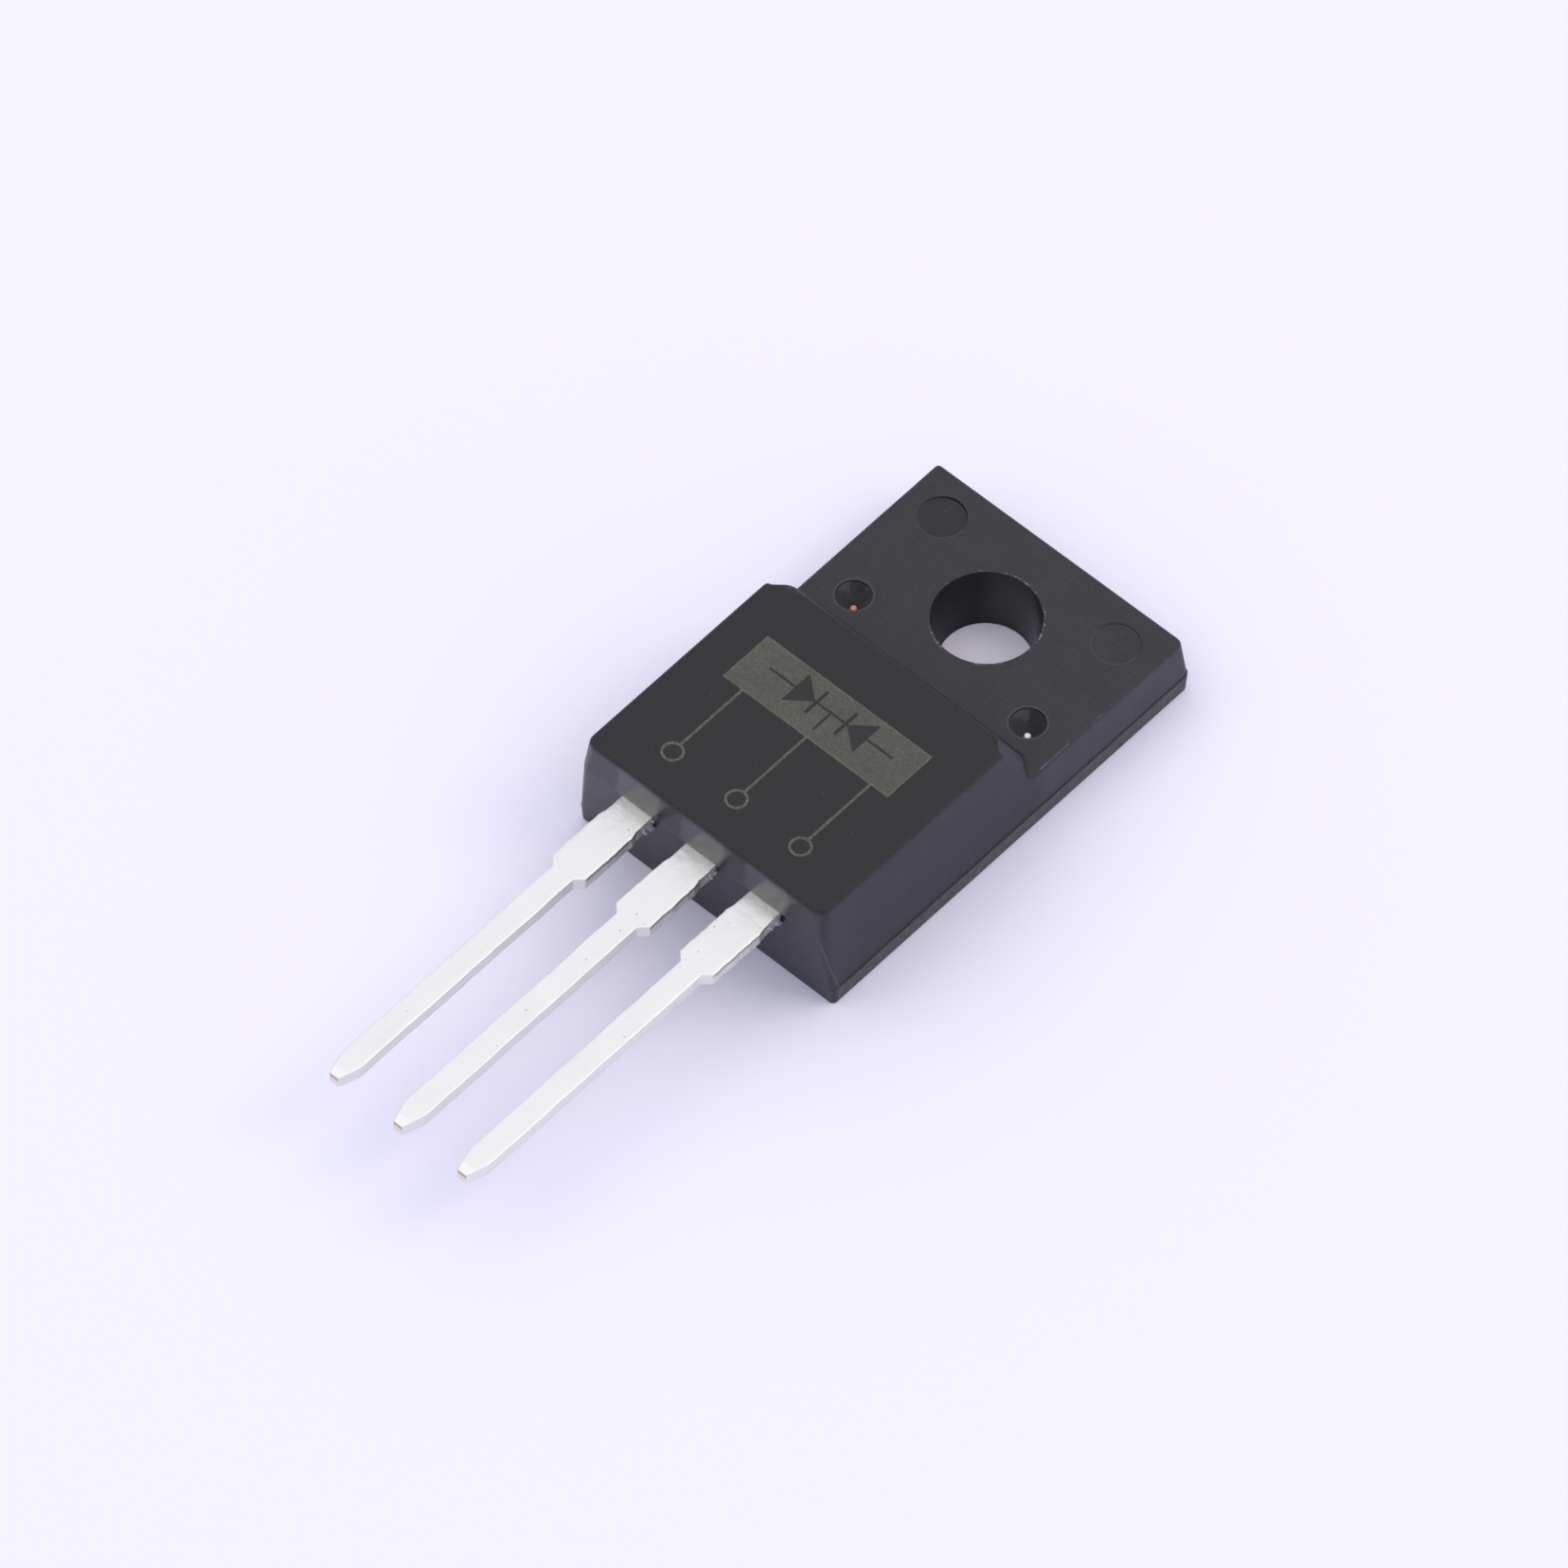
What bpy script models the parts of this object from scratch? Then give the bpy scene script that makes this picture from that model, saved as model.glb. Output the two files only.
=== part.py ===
"""Dual Schottky diode in a full-pack three-lead power package, lying on its back.

The marked face points up (+Z), the leads point to -Y and the thin tab with its screw hole points to +Y.
Lengths along Y are measured from the face that the leads come out of, through a datum empty that puts
the middle of the whole object at Y = 0. Every size is in metres.
"""

import math

import bmesh
import bpy
from mathutils import Vector

MM = 0.001

# Moulded body
BODY_WIDTH = 10.16 * MM
BODY_LENGTH = 16.05 * MM
BODY_HEIGHT = 4.32 * MM
TAB_THICKNESS = 2.24 * MM
RAISED_LENGTH = 8.42 * MM
RISER_ANGLE = math.radians(28.5)
RAISED_CHAMFER_TOP = (0.42 * MM, 0.38 * MM)
RAISED_CHAMFER_FOOT = (0.80 * MM, 0.56 * MM)
SIDE_DRAFT = math.radians(5.5)
FRONT_DRAFT = math.radians(4.8)
BACK_DRAFT = math.radians(2.8)
SIDE_PARTING = 0.70 * MM
FRONT_CORNER_TOP = 0.38 * MM
FRONT_CORNER_FOOT = 0.16 * MM
REAR_CORNER_TOP = 0.32 * MM
REAR_CORNER_FOOT = 0.26 * MM
EDGE_RADIUS = 0.14 * MM

# Screw hole, drawn in towards the back face
HOLE_CENTRE = 12.57 * MM
HOLE_TOP_RADIUS = 1.70 * MM
HOLE_BACK_RADIUS = 1.43 * MM

# Marks that the mould leaves on the tab
MARK_HALF_PITCH = 3.47 * MM
PIN_CENTRE = 10.53 * MM
PIN_TOP_RADIUS = 0.575 * MM
PIN_TIP_RADIUS = 0.15 * MM
EJECTOR_CENTRE = 14.45 * MM
EJECTOR_RADIUS = 0.75 * MM
EJECTOR_DEPTHS = (0.07 * MM, 0.03 * MM)

# Leads
LEAD_PITCH = 2.54 * MM
LEAD_LENGTH = 13.03 * MM
LEAD_TOP = 3.13 * MM
LEAD_THICKNESS = 0.48 * MM
ROOT_WIDTH = 1.20 * MM
DAM_WIDTH = 1.33 * MM
DAM_START = 0.67 * MM
DAM_FLARE = 0.26 * MM
DAM_END = 2.95 * MM
PIN_WIDTH = 0.81 * MM
TIP_LENGTH = 0.74 * MM
TIP_WIDTH = 0.38 * MM
TIP_THICKNESS = 0.36 * MM
LEAD_EDGE = 0.045 * MM

# Bond posts of the two outer leads
POST_START = 0.95 * MM
POST_END = 2.70 * MM
POST_INNER_REACH = 1.04 * MM
POST_OUTER_REACH = 1.46 * MM

# Die pad of the middle lead
PAD_HALF_WIDTH = 4.05 * MM
PAD_FRONT = 2.35 * MM
PAD_REAR = 11.15 * MM
PAD_TOP = 1.60 * MM
PAD_THICKNESS = 1.05 * MM
NECK_START = 0.95 * MM
NECK_WIDTH = 1.60 * MM
NECK_LAND = 0.15 * MM
HOLE_WALL = 0.75 * MM

# Chips, solder and bond wires
CHIP_HALF_PITCH = 2.25 * MM
CHIP_CENTRE = 5.60 * MM
CHIP_SIDE = 2.30 * MM
CHIP_THICKNESS = 0.28 * MM
SOLDER_MARGIN = 0.10 * MM
SOLDER_THICKNESS = 0.05 * MM
WIRE_RADIUS = 0.19 * MM
WIRE_HALF_PITCH = 0.42 * MM
WIRE_FOOT = 0.60 * MM
WIRE_LOOP = 1.00 * MM
WIRE_SEAT = 0.01 * MM

# Room that the epoxy leaves round what it encloses, and how far a cutter reaches past what it cuts
FIT_CLEARANCE = 0.03 * MM
REACH = 1.0 * MM

# How finely curves are divided
CORNER_STEPS = 4
NOTCH_STEPS = 16
HOLE_SIDES = 64
MARK_SIDES = 32
WIRE_STEPS = 12

EPOXY = ("epoxy", (0.035, 0.035, 0.038), 0.60, 0.0)
TINNED_COPPER = ("tinned_copper", (0.80, 0.80, 0.78), 0.35, 1.0)
SOLDER = ("solder", (0.55, 0.55, 0.56), 0.45, 1.0)
SILICON = ("silicon", (0.20, 0.21, 0.24), 0.25, 0.6)
ALUMINIUM = ("aluminium", (0.86, 0.86, 0.87), 0.30, 1.0)


def clear_scene():
    """Remove whatever the scene starts with."""
    for obj in list(bpy.data.objects):
        bpy.data.objects.remove(obj, do_unlink=True)


def new_collection(name):
    """Add a collection to the scene."""
    group = bpy.data.collections.new(name)
    bpy.context.scene.collection.children.link(group)
    return group


def material(finish):
    """Return the Principled material of a finish, made on first use."""
    name, colour, roughness, metallic = finish
    found = bpy.data.materials.get(name)
    if found:
        return found
    made = bpy.data.materials.new(name)
    made.use_nodes = True
    shader = made.node_tree.nodes["Principled BSDF"]
    shader.inputs["Base Color"].default_value = (*colour, 1.0)
    shader.inputs["Roughness"].default_value = roughness
    shader.inputs["Metallic"].default_value = metallic
    made.diffuse_color = (*colour, 1.0)
    return made


class Workshop:
    """The two collections and the datum that every object hangs on."""

    def __init__(self):
        self.parts = new_collection("schottky_diode")
        self.cutters = new_collection("cutters")
        self.datum = bpy.data.objects.new("lead_exit_datum", None)
        self.datum.location.y = (LEAD_LENGTH - BODY_LENGTH) / 2
        self.parts.objects.link(self.datum)

    def part(self, name, mesh, finish):
        """Add a visible part made of one finish."""
        obj = bpy.data.objects.new(name, mesh)
        mesh.materials.append(material(finish))
        self.parts.objects.link(obj)
        obj.parent = self.datum
        return obj

    def cutter(self, name, mesh):
        """Add a helper that is left out of the model."""
        obj = bpy.data.objects.new(name, mesh)
        self.cutters.objects.link(obj)
        self.hide(obj)
        obj.parent = self.datum
        return obj

    def grown_copy(self, part):
        """Add a cutter that is a part with the fit clearance added all round."""
        obj = part.copy()
        obj.name = part.name + "_room"
        self.cutters.objects.link(obj)
        self.hide(obj)
        grow = obj.modifiers.new("Clearance", "DISPLACE")
        grow.mid_level = 0.0
        grow.strength = FIT_CLEARANCE
        return obj

    def hide(self, obj):
        """Mark an object as a helper."""
        obj.hide_render = True
        obj.display_type = "WIRE"


def boolean(obj, other, operation):
    """Add a Boolean modifier."""
    step = obj.modifiers.new(other.name, "BOOLEAN")
    step.operation = operation
    step.object = other


def soften_edges(obj, radius):
    """Round every edge that turns by more than a corner's own step."""
    bevel = obj.modifiers.new("Edges", "BEVEL")
    bevel.width = radius
    bevel.segments = 2
    bevel.limit_method = "ANGLE"
    bevel.angle_limit = math.radians(28)


def mesh_from(bm, name):
    """Finish a bmesh: normals out, smooth across shallow edges."""
    bmesh.ops.recalc_face_normals(bm, faces=bm.faces)
    mesh = bpy.data.meshes.new(name)
    bm.to_mesh(mesh)
    bm.free()
    mesh.shade_smooth()
    mesh.set_sharp_from_angle(angle=math.radians(30))
    return mesh


def box_mesh(name, low, high):
    """Mesh of a box between two corners."""
    bm = bmesh.new()
    bmesh.ops.create_cube(bm, size=1.0)
    size = Vector(high) - Vector(low)
    bmesh.ops.scale(bm, vec=size, verts=bm.verts)
    bmesh.ops.translate(bm, vec=(Vector(low) + Vector(high)) / 2, verts=bm.verts)
    return mesh_from(bm, name)


def cone_mesh(name, foot_radius, top_radius, depth, sides):
    """Mesh of a cone or cylinder that stands on its foot at the origin."""
    bm = bmesh.new()
    bmesh.ops.create_cone(
        bm, cap_ends=True, segments=sides, radius1=foot_radius, radius2=top_radius, depth=depth
    )
    bmesh.ops.translate(bm, vec=(0, 0, depth / 2), verts=bm.verts)
    return mesh_from(bm, name)


def loft_mesh(name, loops):
    """Mesh that joins outlines with equal numbers of points, and closes both ends."""
    bm = bmesh.new()
    rings = [[bm.verts.new(point) for point in loop] for loop in loops]
    for lower, upper in zip(rings, rings[1:]):
        for i, start in enumerate(lower):
            j = (i + 1) % len(lower)
            bm.faces.new((start, lower[j], upper[j], upper[i]))
    bm.faces.new(rings[0])
    bm.faces.new(rings[-1])
    return mesh_from(bm, name)


def curve_mesh(name, curve):
    """Mesh of a curve, with its caps welded to its sides."""
    holder = bpy.data.objects.new(name, curve)
    bpy.context.scene.collection.objects.link(holder)
    graph = bpy.context.evaluated_depsgraph_get()
    source = bpy.data.meshes.new_from_object(holder.evaluated_get(graph))
    bpy.data.objects.remove(holder)
    bm = bmesh.new()
    bm.from_mesh(source)
    bpy.data.meshes.remove(source)
    bmesh.ops.remove_doubles(bm, verts=bm.verts, dist=0.001 * MM)
    return mesh_from(bm, name)


def sheet_mesh(name, outline, thickness):
    """Mesh of a flat outline with a thickness, centred on its own plane."""
    curve = bpy.data.curves.new(name, "CURVE")
    curve.dimensions = "2D"
    curve.fill_mode = "BOTH"
    curve.extrude = thickness / 2
    spline = curve.splines.new("POLY")
    spline.points.add(len(outline) - 1)
    for point, (x, y) in zip(spline.points, outline):
        point.co = (x, y, 0.0, 1.0)
    spline.use_cyclic_u = True
    return curve_mesh(name, curve)


def arc(centre, radius, start, end, steps):
    """Points of an arc between two angles in degrees."""
    turns = [math.radians(start + (end - start) * i / steps) for i in range(steps + 1)]
    return [(centre[0] + radius * math.cos(t), centre[1] + radius * math.sin(t)) for t in turns]


def mirrored(half):
    """Close a half outline, given from front to rear on +X, with its mirror image on -X."""
    return half + [(-x, y) for x, y in reversed(half)]


def draw_in(level, parting, draft):
    """How far a drafted face has drawn in at a level, from its parting line."""
    return abs(level - parting) * math.tan(draft)


def side_inset(level):
    """How far the long sides and the rear have drawn in at a level."""
    return draw_in(level, SIDE_PARTING, SIDE_DRAFT if level > SIDE_PARTING else BACK_DRAFT)


def between(foot, top, share):
    """Value at a share of the way from foot to top."""
    return foot + (top - foot) * share


def body_outline(level):
    """Rounded outline of the full-length body at one level."""
    half = BODY_WIDTH / 2 - side_inset(level)
    front = draw_in(level, LEAD_TOP, FRONT_DRAFT)
    rear = BODY_LENGTH - side_inset(level)
    front_round = between(FRONT_CORNER_FOOT, FRONT_CORNER_TOP, level / BODY_HEIGHT)
    rear_round = between(REAR_CORNER_FOOT, REAR_CORNER_TOP, level / BODY_HEIGHT)
    front_centre = (half - front_round, front + front_round)
    rear_centre = (half - rear_round, rear - rear_round)
    side = arc(front_centre, front_round, -90, 0, CORNER_STEPS)
    side += arc(rear_centre, rear_round, 0, 90, CORNER_STEPS)
    return [(x, y, level) for x, y in mirrored(side)]


def raised_outline(level):
    """Outline of the raised front part at one level, open-ended past the body's sides and front."""
    drop = BODY_HEIGHT - level
    rear = RAISED_LENGTH + drop * math.tan(RISER_ANGLE)
    share = drop / (BODY_HEIGHT - TAB_THICKNESS)
    across = between(RAISED_CHAMFER_TOP[0], RAISED_CHAMFER_FOOT[0], share)
    along = between(RAISED_CHAMFER_TOP[1], RAISED_CHAMFER_FOOT[1], share)
    half = BODY_WIDTH / 2 - side_inset(level)
    chamfer_start = rear - along - REACH * along / across
    side = [(half + REACH, -REACH), (half + REACH, chamfer_start), (half - across, rear)]
    return [(x, y, level) for x, y in mirrored(side)]


def tab_space(shop):
    """Cutter for the air over the tab, with the riser and its chamfered corners as its front."""
    low = (-BODY_WIDTH / 2 - REACH, RAISED_LENGTH / 2, TAB_THICKNESS)
    high = (BODY_WIDTH / 2 + REACH, BODY_LENGTH + REACH, BODY_HEIGHT + REACH)
    space = shop.cutter("tab_space", box_mesh("tab_space", low, high))
    overlap = (BODY_HEIGHT - TAB_THICKNESS) / 4
    levels = (TAB_THICKNESS - overlap, BODY_HEIGHT + REACH + overlap)
    keep = loft_mesh("raised_part", [raised_outline(level) for level in levels])
    boolean(space, shop.cutter("raised_part", keep), "DIFFERENCE")
    return space


def screw_hole(shop):
    """Cutter for the tapered screw hole."""
    slope = (HOLE_TOP_RADIUS - HOLE_BACK_RADIUS) / TAB_THICKNESS
    foot = HOLE_BACK_RADIUS - slope * REACH
    top = HOLE_TOP_RADIUS + slope * REACH
    mesh = cone_mesh("screw_hole", foot, top, TAB_THICKNESS + 2 * REACH, HOLE_SIDES)
    hole = shop.cutter("screw_hole", mesh)
    hole.location = (0, HOLE_CENTRE, -REACH)
    return hole


def tab_marks(shop):
    """Cutters for the two holding-pin holes, down to the die pad, and the two ejector marks."""
    marks = []
    depth = TAB_THICKNESS - PAD_TOP
    slope = (PIN_TOP_RADIUS - PIN_TIP_RADIUS) / depth
    for name, side, ejector_depth in zip(("left", "right"), (-1, 1), EJECTOR_DEPTHS):
        top = PIN_TOP_RADIUS + slope * depth
        mesh = cone_mesh("pin_hole_" + name, PIN_TIP_RADIUS, top, 2 * depth, MARK_SIDES)
        pin = shop.cutter("pin_hole_" + name, mesh)
        pin.location = (side * MARK_HALF_PITCH, PIN_CENTRE, PAD_TOP)
        mesh = cone_mesh("ejector_" + name, EJECTOR_RADIUS, EJECTOR_RADIUS, REACH, MARK_SIDES)
        ejector = shop.cutter("ejector_" + name, mesh)
        ejector.location = (side * MARK_HALF_PITCH, EJECTOR_CENTRE, TAB_THICKNESS - ejector_depth)
        marks += [pin, ejector]
    return marks


def space_below(shop):
    """Cutter for everything under the back face, which leaves the edge of that face sharp."""
    low = (-BODY_WIDTH, -REACH, -REACH)
    return shop.cutter("space_below", box_mesh("space_below", low, (BODY_WIDTH, BODY_LENGTH + REACH, 0)))


def mould_body(shop, enclosed):
    """The one-piece epoxy body, hollow only where it encloses something."""
    levels = sorted((-2 * EDGE_RADIUS, SIDE_PARTING, LEAD_TOP, BODY_HEIGHT))
    mesh = loft_mesh("mould_body", [body_outline(level) for level in levels])
    body = shop.part("mould_body", mesh, EPOXY)
    boolean(body, tab_space(shop), "DIFFERENCE")
    soften_edges(body, EDGE_RADIUS)
    spaces = [space_below(shop), screw_hole(shop)] + tab_marks(shop)
    for cutter in spaces + [shop.grown_copy(part) for part in enclosed]:
        boolean(body, cutter, "DIFFERENCE")
    return body


def lead_flank():
    """Right flank of a lead outside the body, from its tip to its root, as offsets from its axis."""
    shoulder = (DAM_WIDTH - PIN_WIDTH) / 2
    return [
        (TIP_WIDTH / 2, -LEAD_LENGTH),
        (PIN_WIDTH / 2, TIP_LENGTH - LEAD_LENGTH),
        (PIN_WIDTH / 2, -DAM_END - shoulder),
        (DAM_WIDTH / 2, -DAM_END),
        (DAM_WIDTH / 2, -DAM_START - DAM_FLARE),
        (ROOT_WIDTH / 2, -DAM_START),
    ]


def tip_profile():
    """Top and underside of a lead from past its coined tip to where it is full thickness."""
    middle = LEAD_TOP - LEAD_THICKNESS / 2
    top = [
        (-LEAD_LENGTH - REACH, middle + TIP_THICKNESS / 2),
        (-LEAD_LENGTH, middle + TIP_THICKNESS / 2),
        (TIP_LENGTH - LEAD_LENGTH, LEAD_TOP),
    ]
    return top, [(y, 2 * middle - z) for y, z in top]


def stamped_part(shop, name, plan, profile):
    """A piece cut from strip to a plan outline and formed to a side profile."""
    span = BODY_HEIGHT + 2 * REACH
    piece = shop.part(name, sheet_mesh(name, plan, span), TINNED_COPPER)
    piece.location.z = BODY_HEIGHT / 2
    side = shop.cutter(name + "_profile", sheet_mesh(name + "_profile", profile, 2 * BODY_WIDTH))
    side.rotation_euler = (math.pi / 2, 0, math.pi / 2)
    boolean(piece, side, "INTERSECT")
    soften_edges(piece, LEAD_EDGE)
    return piece


def anode_lead(shop, name, side):
    """An outer lead with its bond post inside the body. Side is -1 or +1."""
    axis = side * LEAD_PITCH
    outer = lead_flank()
    outer += [(ROOT_WIDTH / 2, POST_START), (POST_OUTER_REACH, POST_START), (POST_OUTER_REACH, POST_END)]
    inner = lead_flank()
    inner += [(ROOT_WIDTH / 2, POST_START), (POST_INNER_REACH, POST_START), (POST_INNER_REACH, POST_END)]
    plan = [(axis + side * x, y) for x, y in outer]
    plan += [(axis - side * x, y) for x, y in reversed(inner)]
    top, under = tip_profile()
    profile = top + [(POST_END + REACH, LEAD_TOP), (POST_END + REACH, LEAD_TOP - LEAD_THICKNESS)]
    return stamped_part(shop, name, plan, profile + under[::-1])


def cathode_lead(shop):
    """The middle lead, one piece with the die pad, whose rear edge runs round the screw hole."""
    notch = HOLE_TOP_RADIUS + HOLE_WALL
    half_angle = math.degrees(math.asin((HOLE_CENTRE - PAD_REAR) / notch))
    half = lead_flank()
    half += [(ROOT_WIDTH / 2, NECK_START), (NECK_WIDTH / 2, NECK_START), (NECK_WIDTH / 2, PAD_FRONT)]
    half += [(PAD_HALF_WIDTH, PAD_FRONT), (PAD_HALF_WIDTH, PAD_REAR)]
    half += arc((0, HOLE_CENTRE), notch, -half_angle, -90, NOTCH_STEPS // 2)[:-1]
    rear_middle = [(0, HOLE_CENTRE - notch)]
    plan = half + rear_middle + [(-x, y) for x, y in reversed(half)]
    top, under = tip_profile()
    pad_end = PAD_REAR + REACH
    top += [(NECK_START, LEAD_TOP), (PAD_FRONT - NECK_LAND, PAD_TOP), (pad_end, PAD_TOP)]
    under += [(NECK_START - LEAD_THICKNESS / 2, LEAD_TOP - LEAD_THICKNESS)]
    under += [(PAD_FRONT - NECK_LAND - LEAD_THICKNESS / 2, PAD_TOP - PAD_THICKNESS)]
    under += [(pad_end, PAD_TOP - PAD_THICKNESS)]
    return stamped_part(shop, "cathode_lead_and_pad", plan, top + under[::-1])


def square_plate(shop, name, finish, x, side, foot, thickness):
    """A flat square plate at the chip position, standing on a level."""
    low = (x - side / 2, CHIP_CENTRE - side / 2, foot)
    high = (x + side / 2, CHIP_CENTRE + side / 2, foot + thickness)
    return shop.part(name, box_mesh(name, low, high), finish)


def chip_on_solder(shop, name, side):
    """A chip and the solder layer that holds it to the die pad."""
    x = side * CHIP_HALF_PITCH
    solder_side = CHIP_SIDE + 2 * SOLDER_MARGIN
    solder = square_plate(shop, "solder_" + name, SOLDER, x, solder_side, PAD_TOP, SOLDER_THICKNESS)
    foot = PAD_TOP + SOLDER_THICKNESS
    chip = square_plate(shop, "chip_" + name, SILICON, x, CHIP_SIDE, foot, CHIP_THICKNESS)
    return [solder, chip]


def wire_path(x):
    """Points of a bond wire: a foot on the post, a loop, and a foot on the chip."""
    lift = WIRE_RADIUS + WIRE_SEAT
    post_z = LEAD_TOP + lift
    chip_z = PAD_TOP + SOLDER_THICKNESS + CHIP_THICKNESS + lift
    post_foot = (POST_START + POST_END) / 2 + WIRE_FOOT / 2
    chip_foot = CHIP_CENTRE - WIRE_FOOT / 2
    knots = [
        Vector((x, post_foot, post_z)),
        Vector((x, post_foot + WIRE_LOOP / 2, post_z + WIRE_LOOP)),
        Vector((x, chip_foot - WIRE_LOOP, chip_z + WIRE_LOOP)),
        Vector((x, chip_foot, chip_z)),
    ]
    points = [knots[0] - Vector((0, WIRE_FOOT, 0))]
    for i in range(WIRE_STEPS + 1):
        t = i / WIRE_STEPS
        weights = ((1 - t) ** 3, 3 * t * (1 - t) ** 2, 3 * t * t * (1 - t), t**3)
        points.append(sum((w * k for w, k in zip(weights, knots)), Vector()))
    points.append(knots[3] + Vector((0, WIRE_FOOT, 0)))
    return points


def bond_wire(shop, name, x):
    """One aluminium bond wire from a post to a chip."""
    curve = bpy.data.curves.new(name, "CURVE")
    curve.dimensions = "3D"
    curve.bevel_depth = WIRE_RADIUS
    curve.bevel_resolution = 2
    curve.use_fill_caps = True
    spline = curve.splines.new("POLY")
    path = wire_path(x)
    spline.points.add(len(path) - 1)
    for point, place in zip(spline.points, path):
        point.co = (*place, 1.0)
    return shop.part(name, curve_mesh(name, curve), ALUMINIUM)


def build():
    """Make every part."""
    clear_scene()
    shop = Workshop()
    enclosed = [cathode_lead(shop)]
    for name, side in (("left", -1), ("right", 1)):
        enclosed.append(anode_lead(shop, "anode_lead_" + name, side))
        enclosed += chip_on_solder(shop, name, side)
        for place, shift in (("outer", WIRE_HALF_PITCH), ("inner", -WIRE_HALF_PITCH)):
            x = side * (CHIP_HALF_PITCH + shift)
            enclosed.append(bond_wire(shop, f"bond_wire_{name}_{place}", x))
    mould_body(shop, enclosed)


build()
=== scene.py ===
import logging
import math
from collections.abc import Callable
from dataclasses import dataclass
from enum import Enum

import bpy
import numpy as np
from mathutils import Matrix, Vector


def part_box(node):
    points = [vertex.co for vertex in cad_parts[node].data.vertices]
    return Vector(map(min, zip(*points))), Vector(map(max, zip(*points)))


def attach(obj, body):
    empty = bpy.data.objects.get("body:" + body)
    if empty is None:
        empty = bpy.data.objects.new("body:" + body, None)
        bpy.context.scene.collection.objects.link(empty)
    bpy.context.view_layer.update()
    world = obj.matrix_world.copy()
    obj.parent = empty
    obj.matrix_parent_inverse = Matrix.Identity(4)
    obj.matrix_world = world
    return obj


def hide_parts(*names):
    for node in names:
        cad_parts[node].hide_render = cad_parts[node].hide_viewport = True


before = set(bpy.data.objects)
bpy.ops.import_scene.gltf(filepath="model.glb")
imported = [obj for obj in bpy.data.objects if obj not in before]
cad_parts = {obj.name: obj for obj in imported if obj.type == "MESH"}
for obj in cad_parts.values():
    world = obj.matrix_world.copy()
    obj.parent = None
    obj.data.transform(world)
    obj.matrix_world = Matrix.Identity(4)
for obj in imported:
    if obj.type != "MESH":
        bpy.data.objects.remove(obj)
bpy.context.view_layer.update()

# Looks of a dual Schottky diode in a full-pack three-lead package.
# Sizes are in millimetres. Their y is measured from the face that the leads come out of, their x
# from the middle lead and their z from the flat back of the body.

MM = 0.001
EXIT_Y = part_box("mould_body")[0].y
LOG = logging.getLogger("schottky_diode")

# Sizes that the shapes and their finishes share
HALF_WIDTH = 5.08
TAB_TOP = 2.24
PARTING = 0.70
PITCH = 2.54
LEAD_TIP = -13.03
LEAD_TOP = 3.13
HOLE_Y, HOLE_RADIUS = 12.57, 1.70
PIN_PLACE = (3.47, 10.53)
EJECTOR_PLACE, EJECTOR_RADIUS = (3.47, 14.45), 0.75

Array = np.ndarray
Pair = tuple[float, float]
Triple = tuple[float, float, float]
Colour = tuple[float, float, float]
Solid = tuple[Array, list[list[int]]]
Piece = bpy.types.Object
Material = bpy.types.Material
Tree = bpy.types.NodeTree
Node = bpy.types.Node


# Surfaces as arrays


def between(start: float | Array, end: float | Array, share: float | Array) -> float | Array:
    """Blend of two values."""
    return start + (end - start) * share


def smooth_least(a: Array, b: Array, width: float) -> Array:
    """Lower of two heights, blended by a parabola where they differ by less than the width."""
    return np.minimum(a, b) - np.clip(width - np.abs(a - b), 0, None) ** 2 / (4 * width)


def smooth_most(a: Array, b: Array, width: float) -> Array:
    """Higher of two heights, blended in the same way."""
    return -smooth_least(-a, -b, width)


def rounding(radius: float, degrees: Array) -> list[Pair]:
    """Depth and inset of each point of a rounded edge: the radius times 1 - sine and 1 - cosine."""
    turns = np.radians(degrees)
    return [(radius * (1 - math.sin(turn)), radius * (1 - math.cos(turn))) for turn in turns]


def ripple(along: Array, seed: int, size: float, longest: float, shortest: float) -> Array:
    """Sum of sines of falling size whose lengths run from the longest to the shortest.

    Args:
        along: Places along the line, in mm.
        seed: Sets the phases.
        size: Root mean square of the sum, in mm.
        longest: Longest wave, in mm.
        shortest: Shortest wave, in mm.

    Returns:
        The offset at each place.
    """
    dice = np.random.default_rng(seed)
    lengths = np.geomspace(longest, shortest, 9)
    phases = dice.uniform(0, 2 * np.pi, lengths.size)
    sizes = np.sqrt(lengths / longest)
    waves = sizes * np.sin(2 * np.pi * np.asarray(along)[..., None] / lengths + phases)
    return size * waves.sum(-1) / np.sqrt((sizes**2).sum() / 2)


def quads(numbers: Array, closed: bool = False) -> Array:
    """Quads between neighbouring points of a grid.

    Args:
        numbers: Point numbers, (rows, columns).
        closed: Whether the last column joins the first.

    Returns:
        Four point numbers for each quad.
    """
    if closed:
        numbers = np.hstack((numbers, numbers[:, :1]))
    corners = (numbers[:-1, :-1], numbers[:-1, 1:], numbers[1:, 1:], numbers[1:, :-1])
    return np.stack(corners, axis=-1).reshape(-1, 4)


def tube_faces(rings: int, count: int) -> list[list[int]]:
    """Quads between rings of points that are numbered ring by ring, with a cap on each end."""
    numbers = np.arange(rings * count).reshape(rings, count)
    return [*quads(numbers, True).tolist(), numbers[0, ::-1].tolist(), numbers[-1].tolist()]


def joined(solids: list[Solid]) -> Solid:
    """Put several solids into one.

    Args:
        solids: Points and faces of each.

    Returns:
        All points, and all faces with their new point numbers.
    """
    faces, first = [], 0
    for points, own in solids:
        faces += [[number + first for number in face] for face in own]
        first += len(points)
    return np.concatenate([points for points, _ in solids]), faces


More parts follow.
